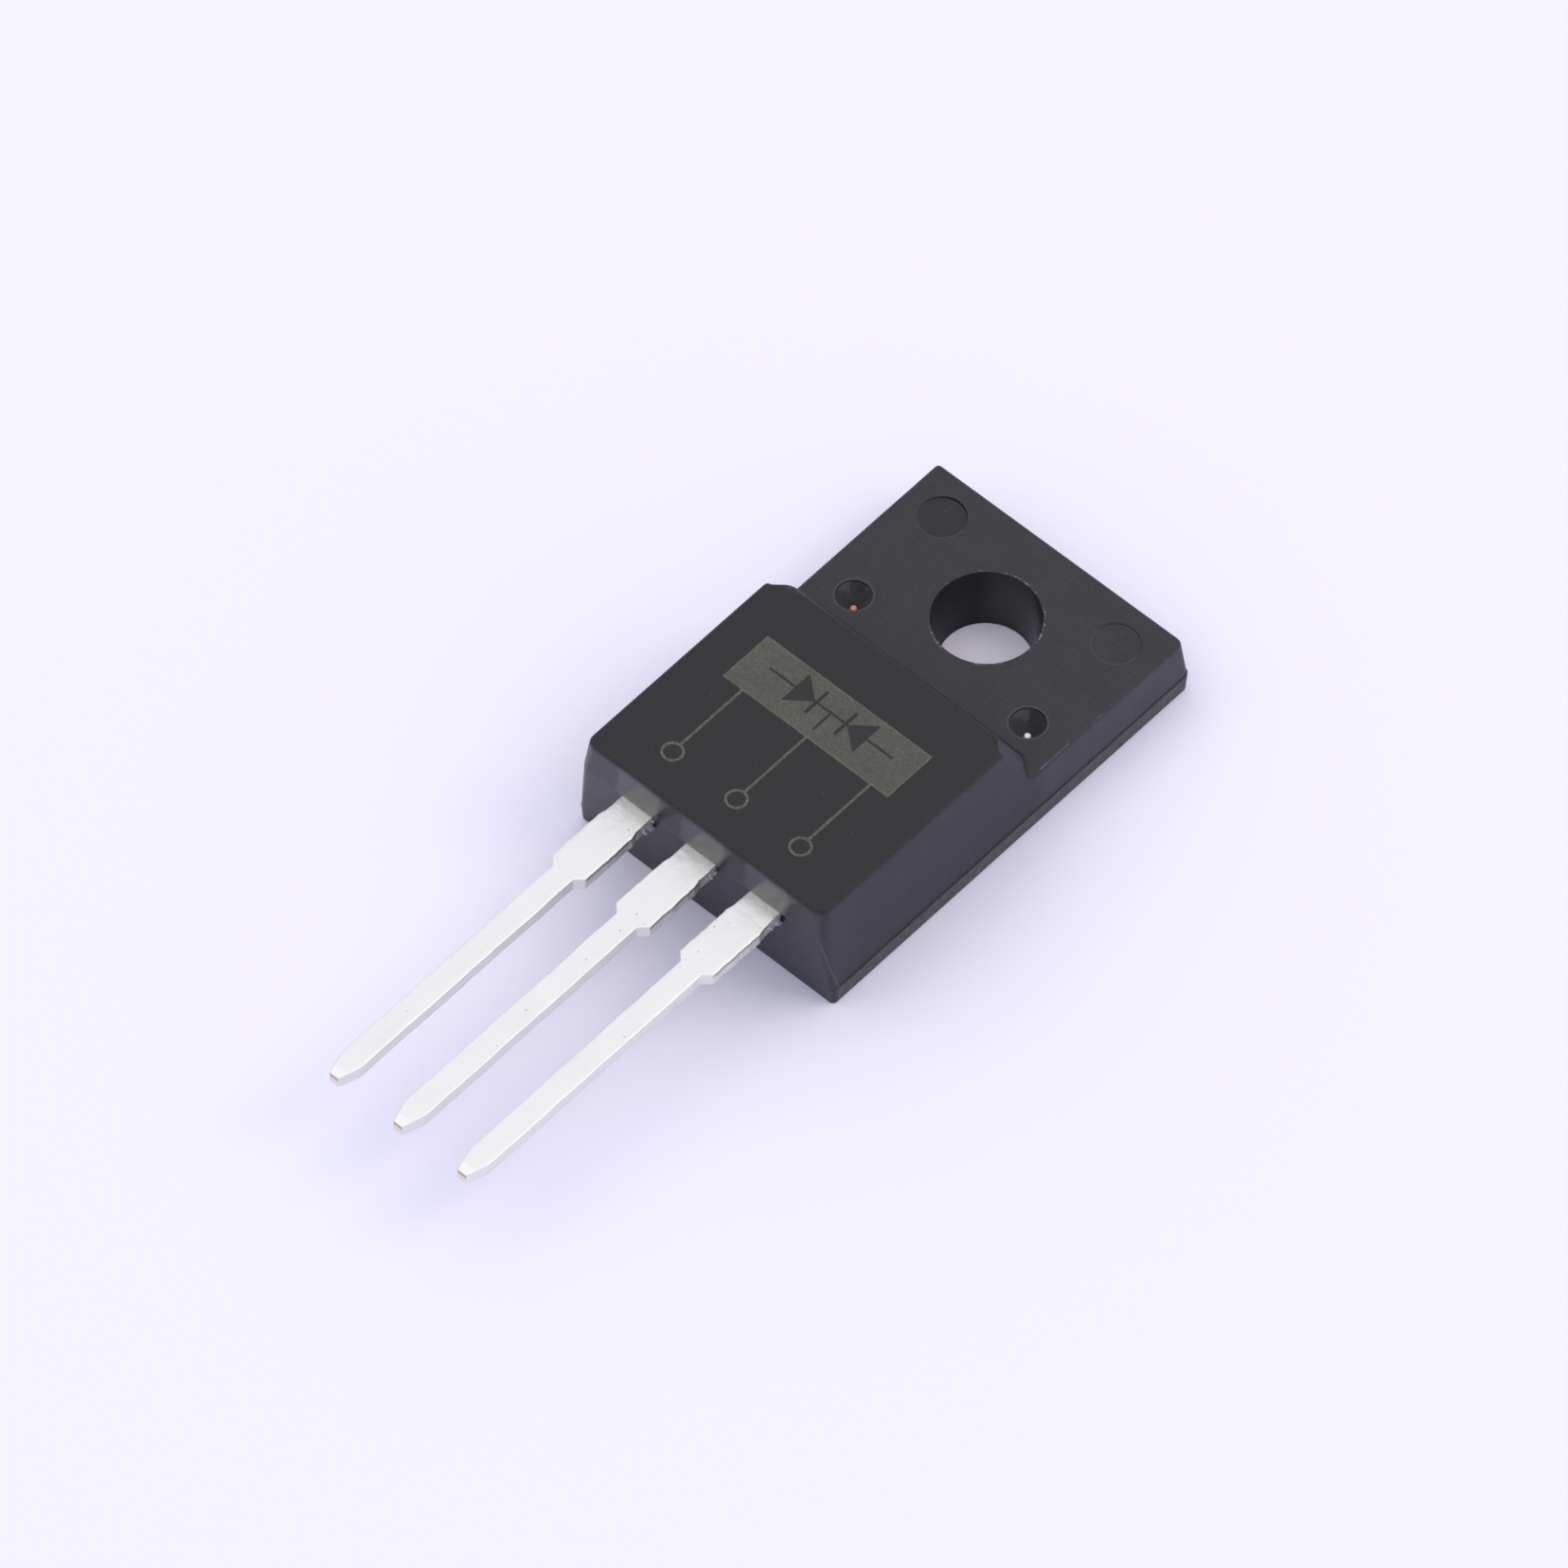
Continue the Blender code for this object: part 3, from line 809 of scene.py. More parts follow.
@dataclass(frozen=True)
class TinnedCopper:
    """Satin tin over copper, stained near the body, lighter there by a painted highlight, and bare
    where the strip was sheared.
    """

    groups: Groups
    tin: Colour = (0.83, 0.83, 0.785)
    stain: Colour = (0.52, 0.53, 0.49)
    # Painted highlight: lighter tin near the body, which offsets the body's dark reflection
    root_tin_highlight: Colour = (0.94, 0.94, 0.90)
    copper: Colour = (0.30, 0.20, 0.155)
    tip_copper: Colour = (0.52, 0.34, 0.27)
    pit: Colour = (0.22, 0.22, 0.20)
    bright_copper: Colour = (0.72, 0.32, 0.20)
    sheared_from: float = -2.95

    def build(self) -> Material:
        """Make the material.

        Returns:
            The material. Its streaks run along the leads.
        """
        made, bench, shader, place = new_material("tinned_copper_strip", self.groups)
        x, y, z = bench.split(place)
        normal_x, normal_y, _ = bench.facing()
        grain = bench.group(self.groups.grain, Place=place)
        streaks = bench.noise(bench.stretched(place, (9.0, 0.6, 9.0)), 1.0, 4.0, 0.6)
        patches = bench.noise(bench.stretched(place, (1.0, 0.5, 1.0)), 1.5, 3.0, 0.55)

        bare = y.rise(self.sheared_from - 0.1, self.sheared_from + 0.1) * y.rise(-0.2, -0.6)
        torn = (z - LEAD_TOP + 0.10 + (patches - 0.5) * 0.06).size().rise(0.085, 0.03)
        bare = normal_x.size().rise(0.72, 0.95) * bare * (0.05 + torn * 0.60)
        tip_face = (0.0 - normal_y).rise(0.75, 0.95) * y.rise(LEAD_TIP + 0.4, LEAD_TIP + 0.15)
        tip_face = tip_face * (0.12 + z.rise(LEAD_TOP - 0.25, LEAD_TOP - 0.14) * 0.70)
        smear = y.rise(-1.9, -0.1) * bench.noise(place, 2.1, 5.0, 0.7).rise(0.38, 0.66)
        pits = bench.cells(place, 3.2).rise(0.10, 0.03)
        pits = pits * bench.noise(place, 0.9, 1.0).rise(0.53, 0.60)
        pits = pits.most(grain["Specks"] * 0.7)
        scraped = round_distance(x, y, (-PIN_PLACE[0], PIN_PLACE[1])).rise(0.4, 0.3)

        colour = bench.coats(
            self.tin,
            # Painted highlight on the lead roots near the body
            (y.rise(-1.3, -0.1), self.root_tin_highlight),
            (smear * 0.16, self.stain),
            (streaks.rise(0.45, 0.75) * 0.08, self.stain),
            (bare, self.copper),
            (tip_face, self.tip_copper),
            (pits * 0.8, self.pit),
            (scraped, self.bright_copper),
        )
        rough = 0.42 + (grain["Grain"] - 0.5) * 0.15 + (patches - 0.5) * 0.12
        relief = grain["Grain"] * 0.22 + streaks * 0.07 + patches * 0.5 - pits * 1.2 + smear * 0.4
        values = {
            "Base Color": colour,
            "Roughness": rough + smear * 0.12 + bare * 0.15,
            "Metallic": 1.0,
            "Normal": bench.bump(relief, 0.012),
        }
        bench.feed(shader, values)
        return made


class Inner(Enum):
    """Finishes of the pieces inside the body: colour, roughness, metallic and streak direction."""

    SILICON = ("silicon_die", (0.19, 0.20, 0.23), 0.22, 0.6, (1.0, 1.0, 1.0))
    SOLDER = ("solder_layer", (0.50, 0.50, 0.51), 0.42, 1.0, (1.0, 1.0, 1.0))
    ALUMINIUM = ("aluminium_wire", (0.83, 0.83, 0.84), 0.30, 1.0, (6.0, 0.5, 6.0))

    def build(self, groups: Groups) -> Material:
        """Make the material: clouds of tone, streaks along the wire and a fine relief.

        Args:
            groups: The shared groups.

        Returns:
            The material.
        """
        name, colour, roughness, metallic, streak = self.value
        made, bench, shader, place = new_material(name, groups)
        grain = bench.group(groups.grain, Place=place)
        streaks = bench.noise(bench.stretched(place, streak), 2.0, 4.0)
        darker = tuple(0.6 * part for part in colour)
        share = grain["Clouds"].rise(0.35, 0.75) * 0.5 + grain["Specks"] * 0.4
        values = {
            "Base Color": bench.mix(share, colour, darker),
            "Roughness": roughness + (streaks - 0.5) * 0.2,
            "Metallic": metallic,
            "Normal": bench.bump(streaks + grain["Grain"] * 0.4, 0.004),
        }
        bench.feed(shader, values)
        return made


@dataclass(frozen=True)
class Resin:
    """Clear resin that bled out of the body: greyish and glossy, darker in places."""

    groups: Groups
    light: Colour = (0.46, 0.46, 0.44)
    dark: Colour = (0.20, 0.20, 0.21)

    def build(self) -> Material:
        """Make the material.

        Returns:
            The material.
        """
        made, bench, shader, place = new_material("bled_resin", self.groups)
        share = bench.noise(place, 6.0).rise(0.35, 0.65)
        values = {
            "Base Color": bench.mix(share, self.light, self.dark),
            "Roughness": 0.12 + share * 0.15,
            "IOR": 1.55,
            "Normal": bench.bump(share, 0.01),
        }
        bench.feed(shader, values)
        return made


@dataclass(frozen=True)
class PaleFloor:
    """Plain pale lavender white surface."""

    colour: Colour = (0.915, 0.889, 0.990)

    def build(self) -> Material:
        """Make the material.

        Returns:
            The material.
        """
        made = bpy.data.materials.new("pale_floor")
        made.use_nodes = True
        values = {"Base Color": self.colour, "Roughness": 0.9, "Specular IOR Level": 0.1}
        Bench(made.node_tree).feed(made.node_tree.nodes["Principled BSDF"], values)
        return made


# The moulded body


@dataclass(frozen=True)
class Ring:
    """Stations round the body's outline, as weights that hold at every level.

    Each station is a corner's arc centre, or a blend of two of them, plus the corner radius times a
    direction.
    """

    across: Array
    along: Array
    out_x: Array
    out_y: Array
    front_count: int
    side_count: int

    @classmethod
    def laid_out(cls, front: Array, side: Array, turns: int) -> "Ring":
        """Lay the stations out from the front left corner, counter-clockwise seen from above.

        Args:
            front: Stations across the front, from -1 to 1.
            side: Stations along a side, from 0 to 1.
            turns: Steps in each half of a corner.

        Returns:
            The ring.
        """
        across, along, angle = [], [], []
        half_turn = np.linspace(0, 45, turns + 1)
        level = np.ones_like(half_turn)
        for start, weights_x, weights_y in (
            (225, front, 0 * front),
            (315, 0 * side + 1, side),
            (45, front[::-1], 0 * front + 1),
            (135, 0 * side - 1, side[::-1]),
        ):
            for weights, parts in ((weights_x, across), (weights_y, along)):
                parts += [weights[0] * level, weights[1:-1], weights[-1] * level[:-1]]
            straight = np.full(len(weights_x) - 2, start + 45.0)
            angle += [start + half_turn, straight, start + 45 + half_turn[:-1]]
        radians = np.radians(np.concatenate(angle))
        counts = (len(front) + 2 * turns - 1, len(side) + 2 * turns - 1)
        plan = (np.concatenate(across), np.concatenate(along), np.cos(radians), np.sin(radians))
        return cls(*plan, *counts)

    def borders(self, values: Array) -> tuple[Array, Array, Array, Array]:
        """Cut values round the ring into the borders of a patch.

        Args:
            values: One row for each station.

        Returns:
            Front, right, rear and left, each with both of its ends. Rear runs as front does, and
            left as right.
        """
        closed = np.concatenate((values, values[:1]))
        ends = np.cumsum([0, *(self.front_count, self.side_count) * 2])
        front, right, rear, left = (closed[a : b + 1] for a, b in zip(ends, ends[1:]))
        return front, right, rear[::-1], left[::-1]

    def patch_numbers(self, first: int, ring_first: int) -> Array:
        """Point numbers of a patch whose border is a ring of points.

        Args:
            first: Number of the patch's first inner point.
            ring_first: Number of the ring's first point.

        Returns:
            Numbers on the whole grid, row by row from the front.
        """
        rows, columns = self.side_count + 1, self.front_count + 1
        numbers = np.zeros((rows, columns), int)
        inner = first + np.arange((rows - 2) * (columns - 2))
        numbers[1:-1, 1:-1] = inner.reshape(rows - 2, columns - 2)
        front, right, rear, left = self.borders(ring_first + np.arange(len(self.across)))
        numbers[0], numbers[:, -1], numbers[-1], numbers[:, 0] = front, right, rear, left
        return numbers


@dataclass
class MouldBody:
    """The one-piece epoxy body with its raised part, tab, screw hole and mould marks."""

    finish: Material
    length: float = 16.05
    height: float = 4.32
    raised_length: float = 8.42
    riser_slope: float = 1.84
    # What the chamfered corner takes off across and along
    chamfer_top: Pair = (0.44, 0.62)
    chamfer_foot: Pair = (0.80, 0.56)
    side_draft: float = math.tan(math.radians(5.5))
    front_draft: float = math.tan(math.radians(4.8))
    back_draft: float = math.tan(math.radians(2.8))
    ledge: float = 0.02
    ledge_rise: float = 0.015
    front_parting: float = 3.13
    # Radius of each corner at the back face and at the top
    front_corner: Pair = (0.16, 0.38)
    rear_corner: Pair = (0.26, 0.32)
    rear_left_corner: Pair = (0.13, 0.16)
    top_edge: float = 0.15
    back_edge: float = 0.03
    blend_edge: float = 0.13
    blend_foot: float = 0.10
    # Heights of the wall's rows, and shares of the rest of the wall
    low_levels: tuple[float, ...] = (
        0.12, 0.25, 0.38, 0.50, 0.60, 0.66, 0.69, 0.70, 0.715, 0.73, 0.76, 0.82,
    )
    wall_shares: tuple[float, ...] = (
        0.08, 0.16, 0.25, 0.35, 0.45, 0.54, 0.62, 0.66, 0.70, 0.73, 0.80, 0.87, 0.94, 1.0,
    )
    hole_back_radius: float = 1.43
    # Flare and height of each ring where the hole opens at the back
    hole_foot: tuple[Pair, ...] = ((0.05, -0.4), (0.05, -0.001), (0.012, 0.02), (0.001, 0.05))
    # Radius at the foot and at the mouth, and height of the foot
    pin: Triple = (0.065, 0.585, 1.57)
    ejector_depths: Pair = (0.06, 0.02)
    tool_reach: float = 0.6

    def ring(self) -> Ring:
        """Stations that crowd together at the riser and at the chamfered corners.

        Returns:
            The ring.
        """
        narrow = np.linspace(0.80, 1.0, 14)
        front = np.concatenate((-narrow[::-1], np.linspace(-0.78, 0.78, 34), narrow))
        parts = (np.linspace(0, 7.4, 36), np.linspace(7.5, 9.9, 62), np.linspace(10.05, 16, 34))
        return Ring.laid_out(front, np.concatenate(parts) / 16, 6)

    def outline(self, ring: Ring, level: Array, inset: float) -> Array:
        """Outline of the body at a level, drawn in by an inset.

        The half width is the greatest one less the draft times the height from the parting line,
        and less the ledge above it. The ends are drafted in the same way.

        Args:
            ring: The stations.
            level: Height of each station.
            inset: How far the stations are drawn in along their own directions.

        Returns:
            x and y of each station.
        """
        above, below = np.clip(level - PARTING, 0, None), np.clip(PARTING - level, 0, None)
        drawn = above * self.side_draft + below * self.back_draft
        drawn = drawn + self.ledge * np.clip(above / self.ledge_rise, 0, 1)
        half, rear = HALF_WIDTH - drawn, self.length - drawn
        front = np.abs(level - self.front_parting) * self.front_draft
        share = np.clip(level / self.height, 0, 1)
        right = (1 + ring.across) / 2
        rear_corners = zip(self.rear_left_corner, self.rear_corner)
        rear_round = between(*(between(*ends, right) for ends in rear_corners), share)
        front_round = between(*self.front_corner, share)
        radius = between(front_round, rear_round, ring.along)
        x = ring.across * (half - radius) + (radius - inset) * ring.out_x
        y = between(front + front_round, rear - rear_round, ring.along)
        return np.stack((x, y + (radius - inset) * ring.out_y), axis=-1)

    def chamfer_plane(self) -> Array:
        """Fit the plane of a chamfered corner, height = a + b |x| + c y, to its four corner points.

        Returns:
            a, b and c.
        """
        top_half, foot_half = (
            HALF_WIDTH - self.ledge - (level - PARTING) * self.side_draft
            for level in (self.height, TAB_TOP)
        )
        foot_rear = self.raised_length + (self.height - TAB_TOP) / self.riser_slope
        corners = np.array(
            [
                (top_half - self.chamfer_top[0], self.raised_length, self.height),
                (top_half, self.raised_length - self.chamfer_top[1], self.height),
                (foot_half - self.chamfer_foot[0], foot_rear, TAB_TOP),
                (foot_half, foot_rear - self.chamfer_foot[1], TAB_TOP),
            ]
        )
        known = np.column_stack((np.ones(4), corners[:, :2]))
        return np.linalg.lstsq(known, corners[:, 2], rcond=None)[0]

    def top_height(self, x: Array, y: Array) -> Array:
        """Height of the top: the greater of the tab and the least of raised top, riser and chamfer.

        Args:
            x: Places across.
            y: Places along.

        Returns:
            The height at each place.
        """
        a, b, c = self.chamfer_plane()
        riser = self.height - (y - self.raised_length) * self.riser_slope
        raised = np.full_like(x, self.height)
        for slope in (riser, a + b * np.abs(x) + c * y):
            raised = smooth_least(raised, slope, self.blend_edge * self.riser_slope)
        return smooth_most(np.full_like(x, TAB_TOP), raised, self.blend_foot * self.riser_slope)

    def rim_heights(self, ring: Ring) -> Array:
        """Height of the top where its edge rounding starts, by trying the outline at that height.

        Args:
            ring: The stations.

        Returns:
            The height at each station.
        """
        level = np.full(ring.across.shape, self.height)
        for _ in range(6):
            level = self.top_height(*self.outline(ring, level, self.top_edge).T)
        return level

    def wall_rows(self, ring: Ring, rim: Array) -> Array:
        """Rows of points from the back face's edge, up the wall, to the end of the top's rounding.

        Args:
            ring: The stations.
            rim: Height of the top at each station.

        Returns:
            Points, (rows, stations, 3).
        """
        flat = np.ones_like(rim)
        back_turns, top_turns = np.linspace(90, 0, 4), np.linspace(0, 90, 9)[1:]
        rows = [(depth * flat, inset) for depth, inset in rounding(self.back_edge, back_turns)]
        rows += [(level * flat, 0.0) for level in self.low_levels]
        low, high = self.low_levels[-1], rim - self.top_edge
        rows += [(between(low, high, share), 0.0) for share in self.wall_shares]
        rows += [(rim - depth, inset) for depth, inset in rounding(self.top_edge, top_turns)]
        plans = ((self.outline(ring, level, inset), level) for level, inset in rows)
        return np.array([np.column_stack(plan) for plan in plans])

    def shell(self) -> Solid:
        """Closed surface of the body without its holes: a wall, and a patch over each of its ends.

        Returns:
            Points and faces.
        """
        ring = self.ring()
        wall = self.wall_rows(ring, self.rim_heights(ring))
        rows, count = wall.shape[:2]
        points = [wall.reshape(-1, 3)]
        faces = [quads(np.arange(rows * count).reshape(rows, count), closed=True)]
        first = rows * count
        for row in (0, rows - 1):
            inner = patch(*ring.borders(wall[row, :, :2]))[1:-1, 1:-1].reshape(-1, 2)
            height = self.top_height(*inner.T) if row else np.zeros(len(inner))
            points.append(np.column_stack((inner, height)))
            lid = quads(ring.patch_numbers(first, row * count))
            faces.append(lid if row else lid[:, ::-1])
            first += len(inner)
        return np.concatenate(points), np.concatenate(faces).tolist()

    def flared(self, radii: Pair, low: float, lip: float) -> list[Pair]:
        """Profile of a tapered hole in the tab whose upper rim opens along a rounding.

        Args:
            radii: Radius at the low end, and at the high end under the rounding.
            low: Height of the low end.
            lip: Radius of the rounding.

        Returns:
            Radius and height of each ring, on to a plain end above the tab.
        """
        shares = np.linspace(0, 1, 9)[:-1]
        profile = [(between(*radii, s), between(low, TAB_TOP - lip, s)) for s in shares]
        for depth, inset in rounding(lip, np.linspace(0, 72, 7)):
            profile.append((radii[1] + inset, TAB_TOP - depth))
        end_radius, end_height = profile[-1]
        out = 0.3
        profile.append((end_radius + out, end_height + out * math.tan(math.radians(18))))
        profile.append((end_radius + out, TAB_TOP + self.tool_reach))
        return profile

    def tools(self) -> Piece:
        """Make the solid of all that is cut out: screw hole, two pin holes and two ejector marks.

        Returns:
            The solid.
        """
        back, top, start = self.hole_back_radius, HOLE_RADIUS, 0.08
        screw = [(back + flare, level) for flare, level in self.hole_foot]
        radii = (back + (top - back) / TAB_TOP * start, top - 0.012)
        solids = [revolved(screw + self.flared(radii, start, 0.016), (0.0, HOLE_Y), 128)]
        pin_tip, pin_mouth, pin_foot = self.pin
        radius, lip = EJECTOR_RADIUS, 0.05
        for side, depth in zip((-1, 1), self.ejector_depths):
            cone = self.flared((pin_tip, pin_mouth - 0.04), pin_foot, lip)
            solids.append(revolved(cone, (side * PIN_PLACE[0], PIN_PLACE[1]), 56))
            floor = TAB_TOP - depth
            mark = [
                (radius - 0.03, floor), (radius - 0.005, floor + 0.006), (radius, floor + 0.02),
                (radius + 0.01, TAB_TOP - 0.001), (radius + 0.03, TAB_TOP + 0.02),
                (radius + 0.03, TAB_TOP + 0.96),
            ]
            solids.append(revolved(mark, (side * EJECTOR_PLACE[0], EJECTOR_PLACE[1]), 80))
        return mesh_object("body_tools", joined(solids))

    def build(self) -> Piece:
        """Make the body, cut its holes and dress it.

        Returns:
            The piece.
        """
        body = mesh_object("moulded_body", self.shell())
        carve(body, self.tools(), 24.0)
        body.data.materials.clear()
        body.data.materials.append(self.finish)
        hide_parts("mould_body")
        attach(body, "root")
        return body


@dataclass
class ResinFlash:
    """Beads of clear resin that bled out beside the right edge of each lead."""

    finish: Material
    reach: float = 0.60
    underside: float = 2.66
    beads: int = 6
    radii: Pair = (0.035, 0.085)
    along: Pair = (-0.42, 0.04)
    lift: Pair = (0.02, 0.34)

    def build(self) -> Piece:
        """Make the beads: spheres squeezed along each axis, sunk in the face and the lead's edge.

        Returns:
            The piece.
        """
        dice = np.random.default_rng(5)
        turns = np.linspace(0, 2 * np.pi, 14, endpoint=False)
        tilts = np.linspace(0.05, np.pi - 0.05, 9)
        turn, tilt = np.meshgrid(turns, tilts)
        ball = (np.sin(tilt) * np.cos(turn), np.sin(tilt) * np.sin(turn), -np.cos(tilt))
        ball = np.stack(ball, axis=-1).reshape(-1, 3)
        faces = tube_faces(len(tilts), len(turns))
        beads = []
        for axis in (-PITCH, 0.0, PITCH):
            for _ in range(self.beads):
                size = dice.uniform(*self.radii, 3)
                y, lift = dice.uniform(*self.along), dice.uniform(*self.lift)
                place = (axis + self.reach + 0.3 * size[0], y, self.underside + lift)
                beads.append((ball * size + place, faces))
        made = mesh_object("bled_resin", joined(beads), 60.0)
        made.data.materials.append(self.finish)
        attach(made, "root")
        return made


# The leads


class Post(Enum):
    """What a lead turns into inside the body."""

    LEFT_POST = "left"
    PAD = "pad"
    RIGHT_POST = "right"


@dataclass
class StampedLead:
    """A lead cut from copper strip, one piece with its bond post or with the die pad."""

    name: str
    replaced: str
    post: Post
    axis: float
    finish: Material
    seed: int
    thickness: float = 0.48
    tip_thickness: float = 0.42
    # Place along and reach of each corner of the flank
    flank: tuple[Pair, ...] = (
        (-13.03, 0.17), (-12.92, 0.225), (-12.36, 0.385), (-12.20, 0.405), (-3.21, 0.405),
        (-2.95, 0.665), (-0.95, 0.665), (-0.69, 0.600), (0.93, 0.600),
    )
    post_reach: Pair = (1.04, 1.46)
    post_end: float = 2.70
    neck: float = 0.80
    pad_half: float = 4.05
    pad_rear: float = 11.15
    pad_top: float = 1.60
    pad_back: float = 0.55
    pad_shear: float = 2.45
    notch: float = 2.45
    roll: float = 0.03
    burr: float = 0.025
    # Size, longest and shortest wave of the edge, of the sheared edge and of the top
    wave: Triple = (0.006, 5.0, 0.8)
    tear: Triple = (0.005, 0.9, 0.2)
    buckle: Triple = (0.003, 6.0, 2.0)

    def stations(self) -> Array:
        """Places along the lead, crowded at its tip and at its shoulders.

        Returns:
            y of each ring of points.
        """
        runs = [(LEAD_TIP, -12.1, 22), (-12.0, -3.4, 120), (-3.35, -2.8, 20), (-2.75, -1.1, 28)]
        runs += [(-1.05, -0.55, 18), (-0.5, 0.9, 16)]
        if self.post is Post.PAD:
            runs += [(0.91, 0.99, 4), (1.05, 2.30, 18), (2.33, 2.37, 4)]
            runs += [(self.pad_shear, self.pad_rear, 44)]
        else:
            runs += [(0.93, 0.97, 4), (1.0, self.post_end, 14)]
        return np.concatenate([np.linspace(*run) for run in runs])

    def reach(self, y: Array, side: int) -> Array:
        """How far the strip reaches from its axis to one side at each place.

        The stamped flank is a line through its corner points, plus a slight ripple outside the body
        and a rougher one where the dam bar was sheared off.

        Args:
            y: Places along the lead.
            side: -1 for the left and 1 for the right.

        Returns:
            The reach in mm, always positive.
        """
        inner, outer = self.post_reach
        if self.post is Post.PAD:
            corners = [(0.97, self.neck), (2.33, self.neck), (2.37, self.pad_half)]
        else:
            outward = (side > 0) == (self.post is Post.RIGHT_POST)
            corners = [(0.97, outer if outward else inner)]
        known = np.array([*self.flank, *corners, (20.0, corners[-1][1])])
        line = np.interp(y, *known.T)
        outside = np.clip(-y / 0.3, 0, 1) * np.clip((y - LEAD_TIP) / 0.3, 0, 1)
        sheared = np.clip((y + 3.0) / 0.2, 0, 1) * np.clip((-0.6 - y) / 0.2, 0, 1)
        waves = ripple(y, self.seed + side, *self.wave)
        rough = ripple(y, self.seed + 7 + side, *self.tear)
        return line + outside * waves + sheared * rough

    def levels(self, y: Array) -> tuple[Array, Array]:
        """Height of the top and of the underside at each place.

        Args:
            y: Places along the lead.

        Returns:
            The two heights.
        """
        step = (self.thickness - self.tip_thickness) / 2
        under = LEAD_TOP - self.thickness
        top = [(LEAD_TIP, LEAD_TOP - step), (LEAD_TIP + 0.30, LEAD_TOP), (0.95, LEAD_TOP)]
        back = [(LEAD_TIP, under + step), (-12.25, under), (0.71, under)]
        if self.post is Post.PAD:
            top += [(2.20, self.pad_top)]
            back += [(1.96, self.pad_back)]
        return np.interp(y, *np.array(top).T), np.interp(y, *np.array(back).T)

    def section(self) -> Array:
        """Stations round the cross-section, counter-clockwise seen from the tip.

        Returns:
            Weight across, weight up, and the two parts of the corner direction, as four rows.
        """
        flat = np.linspace(-1, 1, 40 if self.post is Post.PAD else 14)
        level, one = np.ones_like(flat), np.ones(5)
        corner = np.linspace(0, 90, 5)
        runs = (
            (flat, -level, -90 * level),
            (one, -one, corner - 90),
            (one, one, corner),
            (flat[::-1], level, 90 * level),
            (-one, one, corner + 90),
            (-one, -one, corner + 180),
        )
        wide, tall, degrees = (np.concatenate(part) for part in zip(*runs))
        angle = np.radians(degrees)
        plan = np.stack((wide, tall, np.cos(angle), np.sin(angle)))
        new = np.linalg.norm(plan - np.roll(plan, 1, axis=1), axis=0) > 1e-9
        return plan[:, new]

    def surface(self) -> Solid:
        """Closed surface: the section carried along the strip and capped at both ends.

        A point is the middle of the strip, plus the section's weights times the half size less the
        corner radius, plus the corner radius times the corner's direction. Over the pad, y is
        stretched so that the rear edge runs round the screw hole.

        Returns:
            Points and faces.
        """
        y = self.stations()[:, None]
        wide, tall, turn_x, turn_z = self.section()
        left, right = (self.axis + side * self.reach(y, side) for side in (-1, 1))
        top, back = self.levels(y)
        top = top + np.clip(-y / 0.3, 0, 1) * ripple(y, self.seed + 40, *self.buckle)
        radius = np.where(tall > 0, self.roll, self.burr)
        ends = ((left, right, wide, turn_x), (back, top, tall, turn_z))
        x, z = (
            (low + high) / 2 + weight * ((high - low) / 2 - radius) + radius * turn
            for low, high, weight, turn in ends
        )
        along = np.repeat(y, len(wide), axis=1)
        if self.post is Post.PAD:
            arc = HOLE_Y - np.sqrt(np.clip(self.notch**2 - x**2, 0, None))
            rear = np.where(np.abs(x) < self.notch, np.minimum(self.pad_rear, arc), self.pad_rear)
            share = (along - self.pad_shear) / (self.pad_rear - self.pad_shear)
            along = along + np.clip(share, 0, 1) * (rear - self.pad_rear)
        faces = [face[::-1] for face in tube_faces(len(y), len(wide))]
        return np.stack((x, along, z), axis=-1).reshape(-1, 3), faces

    def build(self) -> Piece:
        """Make the lead and dress it.

        Returns:
            The piece.
        """
        lead = mesh_object(self.name, self.surface(), 40.0)
        lead.data.materials.append(self.finish)
        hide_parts(self.replaced)
        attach(lead, "root")
        return lead


@dataclass
class LeadFrame:
    """The three leads with what they carry inside the body."""

    finish: Material

    def build(self) -> list[Piece]:
        """Make the leads.

        Returns:
            The pieces from left to right.
        """
        plan = (
            ("lead_left", "anode_lead_left", Post.LEFT_POST, -PITCH, 3),
            ("lead_middle_and_pad", "cathode_lead_and_pad", Post.PAD, 0.0, 11),
            ("lead_right", "anode_lead_right", Post.RIGHT_POST, PITCH, 23),
        )
        return [StampedLead(*names, self.finish, seed).build() for *names, seed in plan]


@dataclass
class ChipsAndWires:
    """Carried-over solids inside the body, which keep their shape and get a finish."""

    groups: Groups

    def build(self) -> list[Piece]:
        """Dress the chips, the solder and the bond wires.

        Returns:
            The dressed solids.
        """
        finishes = {kind: kind.build(self.groups) for kind in Inner}
        kinds = {"chip": Inner.SILICON, "solder": Inner.SOLDER, "bond": Inner.ALUMINIUM}
        dressed = []
        for name, node in sorted(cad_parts.items()):
            kind = kinds.get(name.split("_")[0])
            if kind:
                node.data.materials.clear()
                node.data.materials.append(finishes[kind])
                dressed.append(node)
        return dressed


# Camera, floor and light


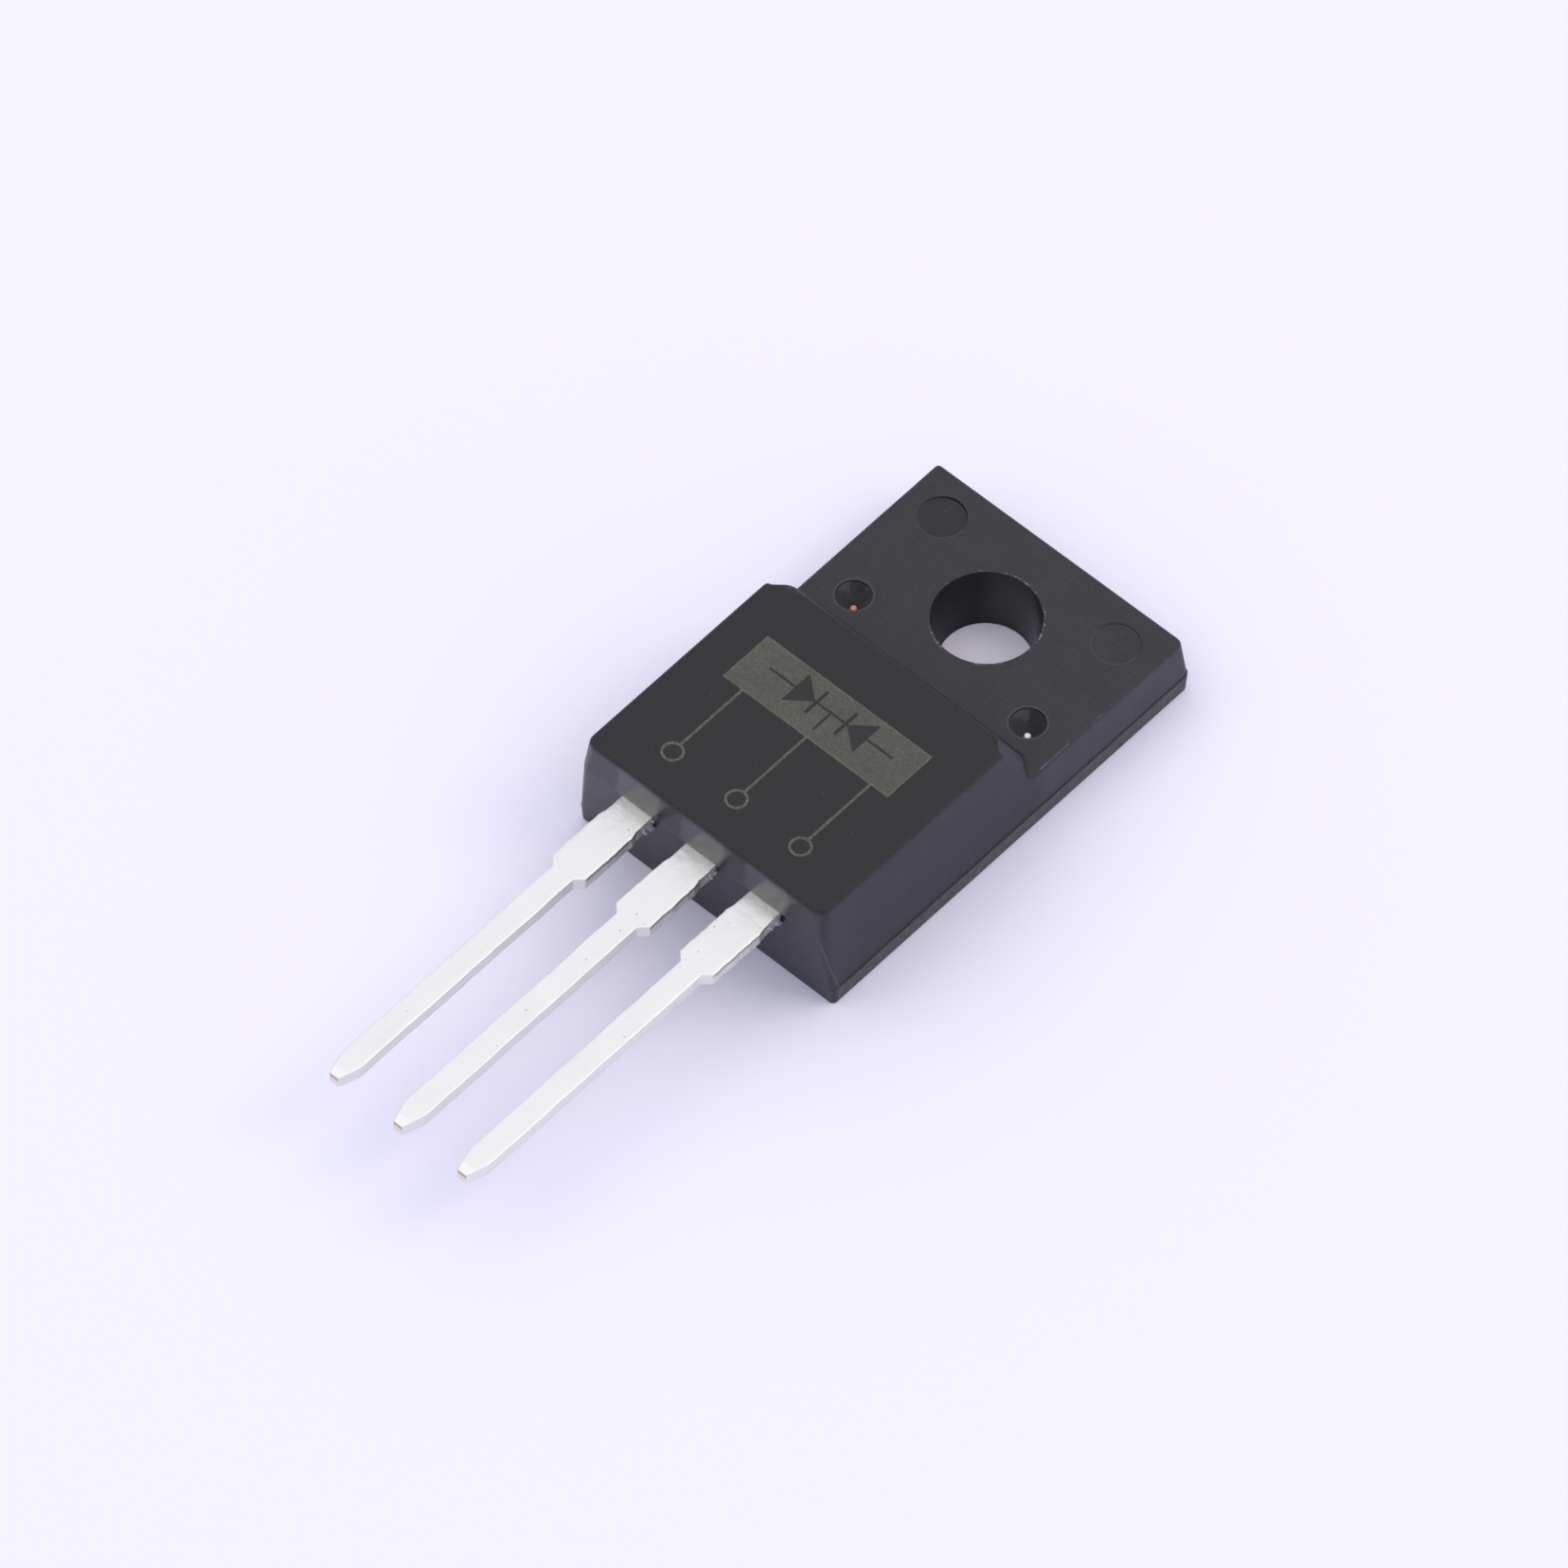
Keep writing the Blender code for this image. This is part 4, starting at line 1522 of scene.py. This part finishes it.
@dataclass
class Studio:
    """Floor, soft light from above and the photograph's camera."""

    azimuth: float = 41.85247
    elevation: float = 54.20324
    roll: float = 0.52904
    lens_px: float = 19653.56
    image_px: float = 1656.0
    place: Triple = (0.213701, -0.236451, 0.447088)
    floor_level: float = -0.004
    floor_half: float = 1500.0
    lamp_distance: float = 0.80
    lamp_colour: Colour = (1.11, 0.978, 0.824)
    sky: Colour = (0.570, 0.626, 0.795)
    # Name, turn, height, size and power of each lamp
    lamps: tuple[tuple[str, float, float, float, float], ...] = (
        ("above", 0.0, 89.9, 0.80, 1.20),
        ("left", 180.0, 50.0, 0.50, 0.70),
        ("right", 0.0, 50.0, 0.40, 1.13),
        ("behind", 90.0, 47.0, 0.90, 0.74),
    )

    def camera(self) -> None:
        """Set up the camera, with its axes worked out from azimuth, elevation and roll."""
        turn, tilt, roll = (math.radians(v) for v in (self.azimuth, self.elevation, self.roll))
        flat = math.cos(tilt)
        back = Vector((math.sin(turn) * flat, -math.cos(turn) * flat, math.sin(tilt)))
        right = Vector((0, 0, 1)).cross(back).normalized()
        rolled = right * math.cos(roll) + back.cross(right) * math.sin(roll)
        axes = Matrix((rolled, back.cross(rolled), back)).transposed().to_4x4()
        axes.translation = Vector(self.place)
        data = bpy.data.cameras.new("camera")
        data.sensor_width = 36.0
        data.lens = self.lens_px * data.sensor_width / self.image_px
        data.clip_start, data.clip_end = 0.01, 20.0
        made = bpy.data.objects.new("camera", data)
        made.matrix_world = axes
        bpy.context.scene.collection.objects.link(made)
        bpy.context.scene.camera = made

    def floor(self) -> None:
        """Lay a wide flat floor just under the back of the body."""
        corner = np.array([(-1, -1), (1, -1), (1, 1), (-1, 1)]) * self.floor_half
        points = np.column_stack((corner, np.full(4, self.floor_level)))
        made = mesh_object("floor", (points, [[0, 1, 2, 3]]))
        made.data.materials.append(PaleFloor().build())

    def lamp(self, name: str, turn: float, height: float, size: float, power: float) -> None:
        """Hang a square soft box aimed at the object.

        Args:
            name: Its name.
            turn: Degrees from the picture's right, counter-clockwise seen from above.
            height: Degrees above the floor.
            size: Side of the square, in metres.
            power: Watts.
        """
        data = bpy.data.lights.new(name, "AREA")
        data.shape, data.size, data.energy, data.color = "SQUARE", size, power, self.lamp_colour
        made = bpy.data.objects.new(name, data)
        around, up = math.radians(self.azimuth + turn), math.radians(height)
        flat, lift = math.cos(up) * self.lamp_distance, self.lamp_distance * math.sin(up)
        made.location = (flat * math.cos(around), flat * math.sin(around), lift)
        made.rotation_euler = (-made.location).to_track_quat("-Z", "Y").to_euler()
        bpy.context.scene.collection.objects.link(made)

    def world(self) -> None:
        """Give an even, slightly blue light from all round."""
        made = bpy.data.worlds.new("studio")
        made.use_nodes = True
        made.node_tree.nodes["Background"].inputs["Color"].default_value = (*self.sky, 1.0)
        bpy.context.scene.world = made

    def build(self) -> None:
        """Set the stage."""
        self.camera()
        self.floor()
        for lamp in self.lamps:
            self.lamp(*lamp)
        self.world()
        bpy.context.scene.view_settings.view_transform = "Standard"


def report(pieces: list[Piece]) -> None:
    """Log each piece with its size.

    Args:
        pieces: The pieces.
    """
    for piece in pieces:
        size = ", ".join(f"{value / MM:.2f}" for value in piece.dimensions)
        LOG.info("%s: %d faces, %s mm", piece.name, len(piece.data.polygons), size)


def main() -> None:
    """Build every sub-assembly in order."""
    logging.basicConfig(level=logging.INFO, format="%(name)s: %(message)s")
    groups = Groups()
    Studio().build()
    body = MouldBody(Epoxy(groups).build()).build()
    report([body, ResinFlash(Resin(groups).build()).build()])
    report(LeadFrame(TinnedCopper(groups).build()).build())
    report(ChipsAndWires(groups).build())
    bpy.context.view_layer.update()


if __name__ == "__main__":
    main()
